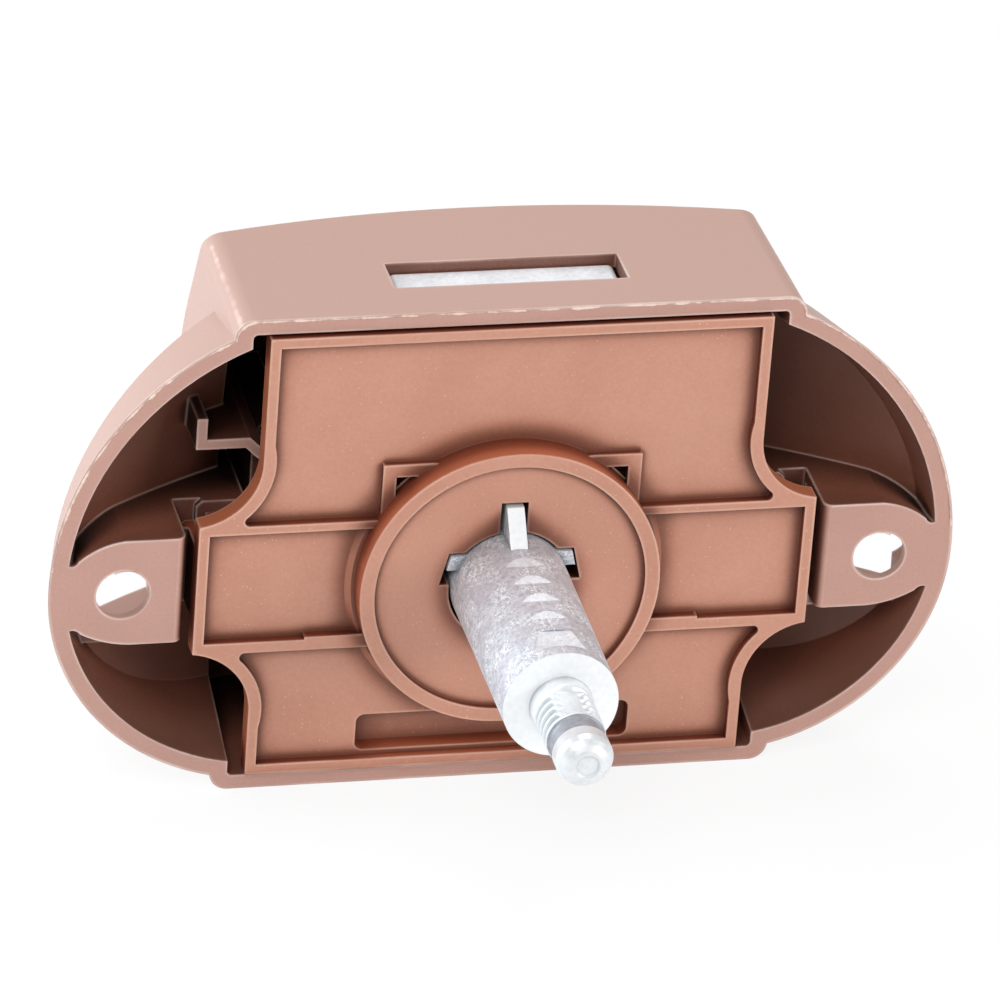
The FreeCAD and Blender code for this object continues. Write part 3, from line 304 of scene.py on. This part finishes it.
spindle_zinc = cast_zinc("Bare cast zinc", "#D3D4DA", "#AEAEB8", 0.55, 1.0, 0.00004, 0.52, 0.35,
                         painted_shade_stops=ZINC_PAINTED_SHADE, seam=True)
lit_slope_zinc = cast_zinc("Bare cast zinc, painted light on slopes", "#DFE0E5", "#C8C9D0", 0.55, 0.8, 0.00003, 0.48, 0.35)
painted_light_zinc = cast_zinc("Cast zinc, painted light", "#F6F7F8", "#EDEFF1", 2.6, 0.1, 0.00001, 0.42, 0.35)
stub_zinc = cast_zinc("Tumbled cast zinc", "#E6E8EA", "#DADCDF", 2.6, 0.1, 0.00001, 0.4, 0.45,
                      painted_shade_stops=STUB_PAINTED_SHADE)
shaded_neck_zinc = cast_zinc("Zinc, painted shade in the neck", "#A0A1A7", "#8E8F96", 2.6, 0.1, 0.00001, 0.5, 0.3)
bolt_zinc = cast_zinc("Plated cast zinc", "#FBFCFE", "#E6E8ED", 0.6, 0.6, 0.00002, 0.42, 0.35,
                      painted_shade_stops=ZINC_PAINTED_SHADE)
zincs = (spindle_zinc, lit_slope_zinc, painted_light_zinc, stub_zinc, shaded_neck_zinc, bolt_zinc)
print("zincs:", " / ".join(zinc.name for zinc in zincs))

# %% [markdown]
# ## Drawn steel
# The cross pin, the detent wire and the return spring are steel wire. Drawing leaves fine lines along
# the wire, too fine to see here, so the finish is a plain satin grey that is rougher in patches.

# %% Steel
def drawn_steel(name, bright, dull, roughness):
    """Satin steel wire with a faint patchiness."""
    material, tree = new_material(name)
    place = add_node(tree, "ShaderNodeTexCoord").outputs["Object"]
    patch = add_node(tree, "ShaderNodeTexNoise",
                     {"Vector": place, "Scale": per_metre(1.5), "Detail": 3.0}).outputs["Fac"]
    colour = mix_colour(tree, remap(tree, patch, 0.35, 0.65), linear(dull), linear(bright))
    gloss = remap(tree, patch, 0.3, 0.7, roughness - 0.05, roughness + 0.08)
    bump = add_node(tree, "ShaderNodeBump", {"Height": patch, "Strength": 0.15, "Distance": 0.00002})
    shader = add_node(tree, "ShaderNodeBsdfPrincipled",
                      {"Base Color": colour, "Metallic": 1.0, "Roughness": gloss,
                       "Normal": bump.outputs[0]})
    add_node(tree, "ShaderNodeOutputMaterial", {"Surface": shader.outputs[0]})
    return material


pin_steel = drawn_steel("Turned pin steel", "#C9CACC", "#A9AAAD", 0.3)
wire_steel = drawn_steel("Drawn spring steel", "#B7B8BB", "#8C8D91", 0.34)
print("steels:", pin_steel.name, "/", wire_steel.name)

# %% [markdown]
# ## Pieces that need only a finish
# Five pieces are shown as the CAD model has them, so they need no new mesh. Their plain colour is taken
# out of the node's material slots and the finish is put in.

# %% Finish the CAD nodes
FINISHES = {
    "back_plate": plate_plastic,
    "cam_carriage": carriage_plastic,
    "cross_pin": pin_steel,
    "latch_bolt": bolt_zinc,
    "detent_wire": wire_steel,
}
for node_name, finish in FINISHES.items():
    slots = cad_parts[node_name].data.materials
    slots.clear()
    slots.append(finish)
print("CAD nodes finished:", ", ".join(FINISHES))

# %% [markdown]
# ## The housing
# The shell is moulded in one piece of one plastic, but its outside and its inside get materials of
# their own, so that the painted shade and the painted corner highlight go only inside. A merged copy
# of the CAD mesh is sorted face by face: a face is outside when it lies on one of the surfaces that
# the outer form is made of, on the rim, the lugs and the bracket's face, or in a screw pocket. Sizes
# named skin say how far from the ideal surface such a face may lie, and the numbers from leaning
# forward to square on are cosines: how nearly a face looks one way. The copy keeps every point in its
# place.

# %% Outside or inside, by the outer form's own sizes in millimetres
BLOCK_SIDE_X, BLOCK_TOP_Z, BLOCK_BOTTOM_Z, BLOCK_LEAN = 24.05, 25.1, -19.3, 0.02
LOBE_TIP_X, LOBE_MIDDLE_Z, LOBE_LEAN = 38.5, 0.5, 0.243
UPPER_LOBE_RADIUS, LOWER_LOBE_RADIUS = 25.5, 18.9
SCREW_X, POCKET_REACH, POCKET_FLOOR_Y, POCKET_SILL_Z = 32.25, 4.35, 2.5, -5.3
BRACKET_FACE_Y, BRACKET_FOOT_Z = 0.005, 6.0
BLOCK_CORNER = 1.6
LOBE_OVERLAP = 1.0
END_SKIN, SIDE_SKIN, CORNER_SKIN, LOBE_SKIN = 0.6, 0.12, 0.1, 0.75
LEANING_FORWARD, HALF_ON, ALONG_RADIUS, STRAIGHT_ON, SQUARE_ON = 0.3, 0.5, 0.75, 0.9, 0.97
TOUCH = 1e-5  # in metres
SAME_POINT = 1e-7  # in metres


def faces_door(face, deepest=0.0):
    """Whether a face of the housing looks at the door from no deeper than this, in metres."""
    return face.calc_center_median().y < deepest + TOUCH and face.normal.y < -STRAIGHT_ON


def is_outside(face):
    """Whether a face of the housing has the finish of its outer form."""
    centre = face.calc_center_median() * 1000
    x, y, z = abs(centre.x), centre.y, centre.z
    out = math.copysign(face.normal.x, face.normal.x * centre.x)
    lean = BLOCK_LEAN * y
    # the front, the rim, the lugs and the bracket
    if face.normal.y > LEANING_FORWARD or faces_door(face, BRACKET_FACE_Y if z > BRACKET_FOOT_Z else 0.0):
        return True
    # the round of a screw pocket, then its slot and sill
    if math.hypot(x - SCREW_X, z) < POCKET_REACH and (SCREW_X - x) * out - z * face.normal.z > 0:
        return True
    if abs(x - SCREW_X) < POCKET_REACH and POCKET_SILL_Z - CORNER_SKIN < z < 0 and y > POCKET_FLOOR_Y:
        return abs(out) > SQUARE_ON and (SCREW_X - x) * out > 0 or face.normal.z > STRAIGHT_ON
    # the block's top and bottom, its sides and its round corners
    below_top = BLOCK_TOP_Z - lean - z
    above_bottom = z - BLOCK_BOTTOM_Z - lean
    if abs(face.normal.z) > HALF_ON and min(below_top, above_bottom) < END_SKIN:
        return True
    if out > HALF_ON and abs(x - BLOCK_SIDE_X + lean) < SIDE_SKIN:
        return True
    near_side = x > BLOCK_SIDE_X - BLOCK_CORNER - CORNER_SKIN - lean
    if near_side and min(below_top, above_bottom) < BLOCK_CORNER:
        return out > 0
    # the lobes
    radius = UPPER_LOBE_RADIUS if z > LOBE_MIDDLE_Z else LOWER_LOBE_RADIUS
    reach = math.hypot(x - LOBE_TIP_X + radius, z - LOBE_MIDDLE_Z)
    along = (out * (x - LOBE_TIP_X + radius) + face.normal.z * (z - LOBE_MIDDLE_Z)) / reach
    on_skin = reach > radius - LOBE_SKIN - LOBE_LEAN * y
    return x > BLOCK_SIDE_X - LOBE_OVERLAP and along > ALONG_RADIUS and on_skin


def merged(node_name):
    """Merged copy of a CAD mesh that remembers the true normal at each corner of each face."""
    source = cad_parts[node_name].data
    work = bmesh.new()
    work.from_mesh(source)
    kept = work.loops.layers.float_vector.new("cad_normal")
    work.faces.ensure_lookup_table()
    for face in work.faces:
        face.smooth = True
        first = source.polygons[face.index].loop_start
        for step, corner in enumerate(face.loops):
            corner[kept] = source.corner_normals[first + step].vector
    bmesh.ops.remove_doubles(work, verts=work.verts, dist=SAME_POINT)
    return work


def finished(work, name, materials):
    """Object from a worked mesh, shaded by the normals that it remembers."""
    mesh = bpy.data.meshes.new(name)
    work.to_mesh(mesh)
    work.free()
    kept = mesh.attributes["cad_normal"]
    normals = [tuple(corner.vector) for corner in kept.data]
    mesh.attributes.remove(kept)
    mesh.normals_split_custom_set(normals)
    for material in materials:
        mesh.materials.append(material)
    piece = bpy.data.objects.new(name, mesh)
    bpy.context.collection.objects.link(piece)
    return piece


shell = merged("housing")
for face in shell.faces:
    face.material_index = 0 if is_outside(face) else 1
inside_share = sum(face.calc_area() for face in shell.faces if face.material_index) / sum(
    face.calc_area() for face in shell.faces)
rim_edges = []
for edge in shell.edges:
    pair = edge.link_faces
    if len(pair) != 2 or pair[0].material_index or pair[1].material_index:
        continue
    if faces_door(pair[0]) != faces_door(pair[1]):
        rim_edges.append([tuple(v.co) for v in edge.verts])
housing_piece = finished(shell, "housing_dressed", [shell_plastic, shaded_hollow_plastic])
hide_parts("housing")
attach(housing_piece, "lock_body")
print("share of the housing's surface inside: %.2f, rim edges: %d" % (inside_share, len(rim_edges)))

# %% [markdown]
# ## The spindle
# The CAD spindle has everything but its thread, so its body is kept as a merged copy. Its stub is
# taken off at the shoulder and made again as one skin whose radius is a rule: a plain root, ridges
# that climb by one pitch a turn, and a smooth valley at top and bottom where the die halves met and
# left no thread. The rounded tip ends in the small dimple that a centre leaves in a turned end. The
# first depth mark cuts a small step into the fin's ramp, and a smooth ramp is laid over it.

# %% Sizes of the stub, in metres
SHOULDER_Y = -0.0211
STUB_ROOT_Y = SHOULDER_Y + 0.0006
STUB_OUTLINE = (
    (0.00265, STUB_ROOT_Y), (0.00265, -0.0212), (0.00256, -0.0222), (0.0025, -0.0224),
    (0.0025, -0.0266), (0.00235, -0.0267), (0.0022, -0.0268), (0.0022, -0.0282),
    (0.0023, -0.0283), (0.0024, -0.0285), (0.0024, -0.0297), (0.0022, -0.0302),
    (0.00185, -0.0306), (0.0014, -0.0309), (0.00102, -0.031),
)
DIMPLE_RADIUS = 0.0009
DIMPLE_FLOOR_Y = -0.03084
THREAD_START = -0.0223
THREAD_END = -0.0265
THREAD_PITCH = 0.00095
THREAD_DEPTH = 0.00042
NECK_START_Y = -0.02665
NECK_END_Y = -0.0284
FIN_FOOT_Z = 0.005
FIN_HALF_WIDTH = 0.00073
FIN_RAMP = ((-0.00431, 0.0044), (-0.00431, 0.00484), (-0.002, 0.0076), (-0.0019, 0.0044))
FIN_SLOPE_STEP = 2
THREAD_RUN_IN, THREAD_RUN_OUT = 0.0004, 0.0003
VALLEY_SINE, RIDGE_SINE = 0.34, 0.62
CAST, PAINTED_LIGHT, LIT_SLOPE, TUMBLED, SHADED_NECK = range(5)
STUB_STEPS_AROUND = 144
STUB_STEP_ALONG = 0.00005

# %% [markdown]
# A thread is a helix, and on a round skin a helix is only a rule for how deep each point lies under the
# outline: the ridge moves along by one pitch for each turn. So the skin is a grid of points, one ring
# for each step along the axis, and each point is moved in by as much of the thread's depth as is due.

# %% The stub's skin
def outline_radius(y):
    """Radius of the stub's outline at y."""
    for (r0, y0), (r1, y1) in zip(STUB_OUTLINE, STUB_OUTLINE[1:]):
        if y1 <= y <= y0:
            return r0 + (r1 - r0) * (y0 - y) / (y0 - y1)
    return STUB_OUTLINE[-1][0]


def smooth(value, low, high):
    """Rises smoothly from 0 to 1 between two limits."""
    share = min(max((value - low) / (high - low), 0.0), 1.0)
    return share * share * (3 - 2 * share)


def stub_radius(angle, y):
    """Radius of the threaded stub at an angle from its top."""
    radius = outline_radius(y)
    begun = smooth(-y, -THREAD_START, -THREAD_START + THREAD_RUN_IN)
    ended = smooth(-y, -THREAD_END - THREAD_RUN_OUT, -THREAD_END)
    climb = (y / THREAD_PITCH + angle / (2 * math.pi)) % 1.0
    ridge = 0.5 + 0.5 * math.cos(2 * math.pi * climb)
    side = smooth(abs(math.sin(angle)), VALLEY_SINE, RIDGE_SINE)
    return radius - begun * (1 - ended) * THREAD_DEPTH * (1 - ridge * side)


def stub_skin():
    """Closed skin of the stub, as points and faces."""
    turns = [2 * math.pi * step / STUB_STEPS_AROUND for step in range(STUB_STEPS_AROUND)]
    rows = []
    y = STUB_ROOT_Y
    while y > STUB_OUTLINE[-1][1]:
        rows.append(y)
        y -= STUB_STEP_ALONG
    rows.append(STUB_OUTLINE[-1][1])
    rings = [[(stub_radius(angle, y), angle, y) for angle in turns] for y in rows]
    rings.append([(DIMPLE_RADIUS, angle, DIMPLE_FLOOR_Y) for angle in turns])
    points = [(radius * math.sin(angle), y, radius * math.cos(angle))
              for ring in rings for radius, angle, y in ring]
    faces = []
    for row in range(len(rings) - 1):
        for step in range(STUB_STEPS_AROUND):
            after = (step + 1) % STUB_STEPS_AROUND
            base = row * STUB_STEPS_AROUND
            above = base + STUB_STEPS_AROUND
            faces.append((base + step, base + after, above + after, above + step))
    for base in (0, (len(rings) - 1) * STUB_STEPS_AROUND):
        faces.append(tuple(base + step for step in range(STUB_STEPS_AROUND)))
    return points, faces


def add_fin_ramp(work):
    """Give the fin its smooth ramp, over the step that the first flat leaves in it."""
    left, right = [[work.verts.new((x, y, z)) for y, z in FIN_RAMP]
                   for x in (-FIN_HALF_WIDTH, FIN_HALF_WIDTH)]
    work.faces.new(left)
    work.faces.new(right)
    for step in range(len(FIN_RAMP)):
        face = work.faces.new([left[step], left[step - 1], right[step - 1], right[step]])
        # The front slope takes the paler zinc as painted light, where it faces the lamps; its sides keep
        # the cast skin.
        face.material_index = PAINTED_LIGHT if step == FIN_SLOPE_STEP else CAST


def dressed_spindle():
    """Merged copy of the CAD spindle whose plain stub gives way to the threaded one."""
    work = merged("spindle")
    stub = [v for v in work.verts if v.co.y < SHOULDER_Y - TOUCH]
    bmesh.ops.delete(work, geom=stub, context="VERTS")
    rim = [e for e in work.edges if e.is_boundary]
    bmesh.ops.holes_fill(work, edges=rim)
    for face in work.faces:
        centre = face.calc_center_median()
        # Painted light: the shoulder and the fin's top take the paler zinc.
        if centre.y < SHOULDER_Y + TOUCH or centre.z > FIN_FOOT_Z:
            face.material_index = PAINTED_LIGHT
        # Painted light: faces that turn up and a little forward take a paler zinc.
        elif face.normal.y < -0.1 and face.normal.z > STRAIGHT_ON:
            face.material_index = LIT_SLOPE
        else:
            face.material_index = CAST
    points, faces = stub_skin()
    corners = [work.verts.new(p) for p in points]
    for loop in faces:
        face = work.faces.new([corners[i] for i in loop])
        # The neck's groove takes a darker zinc, painted shade.
        is_neck = NECK_END_Y < face.calc_center_median().y < NECK_START_Y
        face.material_index = SHADED_NECK if is_neck else TUMBLED
        face.smooth = len(loop) == 4
    add_fin_ramp(work)
    bmesh.ops.recalc_face_normals(work, faces=work.faces)
    return finished(work, "spindle_dressed", [spindle_zinc, painted_light_zinc, lit_slope_zinc, stub_zinc, shaded_neck_zinc])


spindle_piece = dressed_spindle()
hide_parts("spindle")
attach(spindle_piece, "spindle_unit")
print("spindle faces:", len(spindle_piece.data.polygons))

# %% [markdown]
# ## The return spring
# A wound wire follows a rule, so Geometry Nodes make it: a spiral for the wire's line, a circle swept
# along it for its thickness. Two turned-in end coils would be ground flat on a real spring, and here
# the wire simply ends. The real spring shortens as the spindle is pushed in; here it rides the lock's
# body at its full length.

# %% A spring made by Geometry Nodes
SPRING_SIZES = {"Coil Radius": 0.0037, "Wire Radius": 0.0004, "Turns": 6.0, "Length": 0.0145,
                "Start": 0.0092}


def spring_tree():
    """Geometry Nodes tree of a wound spring along Y, with named sizes."""
    tree = bpy.data.node_groups.new("Wound spring", "GeometryNodeTree")
    for name in SPRING_SIZES:
        tree.interface.new_socket(name, in_out="INPUT", socket_type="NodeSocketFloat")
    tree.interface.new_socket("Finish", in_out="INPUT", socket_type="NodeSocketMaterial")
    tree.interface.new_socket("Geometry", in_out="OUTPUT", socket_type="NodeSocketGeometry")
    sizes = add_node(tree, "NodeGroupInput").outputs
    line = add_node(tree, "GeometryNodeCurveSpiral",
                    {"Resolution": 72, "Rotations": sizes["Turns"], "Start Radius": sizes["Coil Radius"],
                     "End Radius": sizes["Coil Radius"], "Height": sizes["Length"]})
    seat = add_node(tree, "ShaderNodeCombineXYZ", {"Y": sizes["Start"]})
    laid = add_node(tree, "GeometryNodeTransform",
                    {"Geometry": line.outputs[0], "Rotation": (-math.pi / 2, 0.0, 0.0),
                     "Translation": seat.outputs[0]})
    section = add_node(tree, "GeometryNodeCurvePrimitiveCircle",
                       {"Resolution": 20, "Radius": sizes["Wire Radius"]})
    wire = add_node(tree, "GeometryNodeCurveToMesh",
                    {"Curve": laid.outputs[0], "Profile Curve": section.outputs[0], "Fill Caps": True})
    whole = add_node(tree, "GeometryNodeRealizeInstances", {"Geometry": wire.outputs[0]})
    dressed = add_node(tree, "GeometryNodeSetMaterial",
                       {"Geometry": whole.outputs[0], "Material": sizes["Finish"]})
    add_node(tree, "NodeGroupOutput", {0: dressed.outputs[0]})
    return tree


def made_by_nodes(name, tree, values, start=None):
    """Smooth mesh object from a Geometry Nodes tree, its input values and a mesh to start from."""
    holder = bpy.data.objects.new(name + "_holder", start or bpy.data.meshes.new(name + "_holder"))
    bpy.context.collection.objects.link(holder)
    modifier = holder.modifiers.new("Nodes", "NODES")
    modifier.node_group = tree
    for item in tree.interface.items_tree:
        if item.in_out == "INPUT" and item.name in values:
            modifier[item.identifier] = values[item.name]
    depsgraph = bpy.context.evaluated_depsgraph_get()
    mesh = bpy.data.meshes.new_from_object(holder.evaluated_get(depsgraph))
    mesh.name = name
    for polygon in mesh.polygons:
        polygon.use_smooth = True
    bpy.data.objects.remove(holder)
    piece = bpy.data.objects.new(name, mesh)
    bpy.context.collection.objects.link(piece)
    return piece


spring_piece = made_by_nodes("return_spring_wound", spring_tree(), {**SPRING_SIZES, "Finish": wire_steel})
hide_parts("return_spring")
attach(spring_piece, "lock_body")
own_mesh(spring_piece)
print("spring faces:", len(spring_piece.data.polygons))

# %% [markdown]
# ## Flash on the rim
# Where the two halves of the mould closed, a little plastic crept out and was torn off, which leaves a
# pale ragged bead along the outer edge of the rim and up the block's left corner. Geometry Nodes turn
# the edge's own line into a curve, shake it with noise, and sweep a small circle along it whose size
# follows the noise too.

# %% Beads of flash made by Geometry Nodes
FLASH_SIZES = {"Bead Radius": 0.00007, "Step": 0.00015, "Shake": 0.00025, "Patch Size": 0.0016}
FLASH_LOWEST_Z = 0.002
FLASH_INSET = 0.00018
FLASH_PROUD = 0.00004
FLASH_THINNEST, FLASH_THICKEST = 0.45, 2.0
RIM_MIDDLE = Vector((0, 0.003, 0))
JOIN_REACH = 1e-6
CORNER_LINE_MM = 16


def flash_tree():
    """Geometry Nodes tree of a ragged bead along the edges of a mesh, with named sizes."""
    tree = bpy.data.node_groups.new("Ragged flash", "GeometryNodeTree")
    tree.interface.new_socket("Geometry", in_out="INPUT", socket_type="NodeSocketGeometry")
    for name in FLASH_SIZES:
        tree.interface.new_socket(name, in_out="INPUT", socket_type="NodeSocketFloat")
    tree.interface.new_socket("Finish", in_out="INPUT", socket_type="NodeSocketMaterial")
    tree.interface.new_socket("Geometry", in_out="OUTPUT", socket_type="NodeSocketGeometry")
    given = add_node(tree, "NodeGroupInput").outputs
    line = add_node(tree, "GeometryNodeMeshToCurve", {"Mesh": given["Geometry"]})
    even = add_node(tree, "GeometryNodeResampleCurve", {"Curve": line.outputs[0], "Length": given["Step"]},
                    mode="LENGTH")
    place = add_node(tree, "GeometryNodeInputPosition").outputs[0]
    per_patch = add_node(tree, "ShaderNodeMath", {0: 1.0, 1: given["Patch Size"]}, operation="DIVIDE")
    noise = add_node(tree, "ShaderNodeTexNoise",
                     {"Vector": place, "Scale": per_patch.outputs[0], "Detail": 4.0, "Roughness": 0.7})
    centred = add_node(tree, "ShaderNodeVectorMath",
                       {0: noise.outputs["Color"], 1: (0.5, 0.5, 0.5)}, operation="SUBTRACT")
    shake = add_node(tree, "ShaderNodeVectorMath", {0: centred.outputs[0], "Scale": given["Shake"]},
                     operation="SCALE")
    moved = add_node(tree, "GeometryNodeSetPosition",
                     {"Geometry": even.outputs[0], "Offset": shake.outputs[0]})
    thick = remap(tree, noise.outputs["Fac"], 0.46, 0.64, FLASH_THINNEST, FLASH_THICKEST)
    section = add_node(tree, "GeometryNodeCurvePrimitiveCircle",
                       {"Resolution": 6, "Radius": given["Bead Radius"]})
    bead = add_node(tree, "GeometryNodeCurveToMesh",
                    {"Curve": moved.outputs[0], "Profile Curve": section.outputs[0], "Scale": thick,
                     "Fill Caps": True})
    whole = add_node(tree, "GeometryNodeRealizeInstances", {"Geometry": bead.outputs[0]})
    dressed = add_node(tree, "GeometryNodeSetMaterial",
                       {"Geometry": whole.outputs[0], "Material": given["Finish"]})
    add_node(tree, "NodeGroupOutput", {0: dressed.outputs[0]})
    return tree


def line_mesh(name, edges):
    """Mesh of bare edges, drawn in by the inset so that the bead stays within the form."""
    work = bmesh.new()
    for ends in edges:
        corners = []
        for end in ends:
            point = Vector(end)
            inset = (RIM_MIDDLE - point).normalized() * FLASH_INSET
            corners.append(work.verts.new(point + inset + Vector((0, -FLASH_PROUD, 0))))
        work.edges.new(corners)
    bmesh.ops.remove_doubles(work, verts=work.verts, dist=JOIN_REACH)
    mesh = bpy.data.meshes.new(name)
    work.to_mesh(mesh)
    work.free()
    return mesh


def corner_edges():
    """Line up the round upper left corner of the block, from the rim towards the front."""
    turn = BLOCK_CORNER * (1 - math.sqrt(0.5))
    points = []
    for step in range(CORNER_LINE_MM):
        lean = BLOCK_LEAN * step
        across = BLOCK_SIDE_X - lean - turn
        height = BLOCK_TOP_Z - lean - turn
        points.append((-across / 1000, step / 1000, height / 1000))
    return list(zip(points, points[1:]))


upper_edges = [ends for ends in rim_edges if min(ends[0][2], ends[1][2]) > FLASH_LOWEST_Z]
flash_plastic = moulded_plastic("Torn flash", "#E2C6B5", "#CDA592", "#EBD6CA", roughness=0.6)
flash_piece = made_by_nodes("rim_flash", flash_tree(), {**FLASH_SIZES, "Finish": flash_plastic},
                            line_mesh("rim_line", upper_edges + corner_edges()))
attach(flash_piece, "lock_body")
print("flash faces:", len(flash_piece.data.polygons))

# %% [markdown]
# ## The studio
# The lock stands on its flat lower wall on a white table, in front of white. Camera rays and mirrored
# rays see most of the floor as plain white, so the background is white, the lock's side shines white
# at a flat angle, and the rest of the floor's colour keeps the soft shadow. The sky lights dimly.

# %% Floor and sky
FLOOR_SHARE_OF_WHITE = 0.86
FLOOR_SIZE = 6.0
FLOOR_GAP = 0.00002
SKY_LEVEL = 0.44

floor_z = cad_low.z - FLOOR_GAP
bpy.ops.mesh.primitive_plane_add(size=FLOOR_SIZE, location=(0, 0, 0))
floor = bpy.context.object
floor.name = "floor"
for vertex in floor.data.vertices:
    vertex.co.z = floor_z
floor_paint, tree = new_material("White table")
rays = add_node(tree, "ShaderNodeLightPath").outputs
card = add_node(tree, "ShaderNodeBsdfDiffuse", {"Color": linear("#F6F6F6")})
glow = add_node(tree, "ShaderNodeEmission", {"Color": linear("#FFFFFF"), "Strength": 1.0})
direct = add_node(tree, "ShaderNodeMath", {0: rays["Is Camera Ray"], 1: rays["Is Glossy Ray"]},
                  operation="MAXIMUM")
seen = product(tree, direct.outputs[0], FLOOR_SHARE_OF_WHITE)
blend = add_node(tree, "ShaderNodeMixShader", {0: seen, 1: card.outputs[0], 2: glow.outputs[0]})
add_node(tree, "ShaderNodeOutputMaterial", {"Surface": blend.outputs[0]})
floor.data.materials.append(floor_paint)
print("floor at z = %.5f m" % floor_z)

sky = bpy.data.worlds.new("White studio")
bpy.context.scene.world = sky
sky.use_nodes = True
tree = sky.node_tree
tree.nodes.clear()
rays = add_node(tree, "ShaderNodeLightPath").outputs
level = add_node(tree, "ShaderNodeMapRange",
                 {"Value": rays["Is Camera Ray"], "To Min": SKY_LEVEL, "To Max": 1.0})
backdrop = add_node(tree, "ShaderNodeBackground",
                    {"Color": linear("#FFFFFF"), "Strength": level.outputs[0]})
add_node(tree, "ShaderNodeOutputWorld", {"Surface": backdrop.outputs[0]})

# %% [markdown]
# ## Light
# Two soft boxes stand on either side of the camera and one above the lock, so faces towards the camera
# and towards the sky are equally bright and little light reaches the deep recesses, which also get
# painted shade. A fourth on the left is a little blue and pales the lock's left flank.

# %% Light
def soft_box(name, place, size, power, colour="#FFFFFF"):
    """Square area light that faces the lock."""
    light = bpy.data.lights.new(name, "AREA")
    light.size = size
    light.energy = power
    light.color = linear(colour)[:3]
    lamp = bpy.data.objects.new(name, light)
    lamp.location = place
    lamp.rotation_euler = (-Vector(place)).to_track_quat("-Z", "Y").to_euler()
    bpy.context.collection.objects.link(lamp)
    print("lamp:", name, power, "W")


soft_box("Key", (-0.25, -0.45, 0.55), 0.35, 2.2)
soft_box("Fill", (0.6, -0.5, 0.25), 0.4, 2.5)
soft_box("Top", (0.1, 0.25, 0.8), 0.4, 1.9)
soft_box("Side", (-0.6, 0.2, 0.2), 0.35, 4.4, "#E6F7FF")

# %% [markdown]
# ## Camera
# The camera's place was solved from the corners of the lock in the photograph: a long lens three
# quarters of a metre away, looking down by 29 degrees, from a little to the left, and rolled by 4.

# %% Camera
AZIMUTH = math.radians(-14.70)
ELEVATION = math.radians(29.26)
ROLL = math.radians(4.42)
DISTANCE = 0.76219
SIDE_STEP = -0.00036
RISE = 0.00623
LENS_MM = 330.29
SENSOR_MM = 36.0

back = Vector((math.sin(AZIMUTH) * math.cos(ELEVATION), -math.cos(AZIMUTH) * math.cos(ELEVATION),
               math.sin(ELEVATION)))
right = Vector((math.cos(AZIMUTH), math.sin(AZIMUTH), 0))
up = back.cross(right)
right, up = (right * math.cos(ROLL) + up * math.sin(ROLL),
             up * math.cos(ROLL) - right * math.sin(ROLL))
lens = bpy.data.cameras.new("Portrait lens")
lens.lens = LENS_MM
lens.sensor_width = SENSOR_MM
lens.clip_start = 0.01
camera = bpy.data.objects.new("Portrait camera", lens)
view = camera.matrix_world.copy()
for row in range(3):
    view[row][0] = right[row]
    view[row][1] = up[row]
    view[row][2] = back[row]
    view[row][3] = (back * DISTANCE + right * SIDE_STEP + up * RISE)[row]
camera.matrix_world = view
bpy.context.collection.objects.link(camera)
bpy.context.scene.camera = camera
bpy.context.scene.view_settings.view_transform = "Standard"
print("camera at", [round(v, 3) for v in camera.matrix_world.translation])
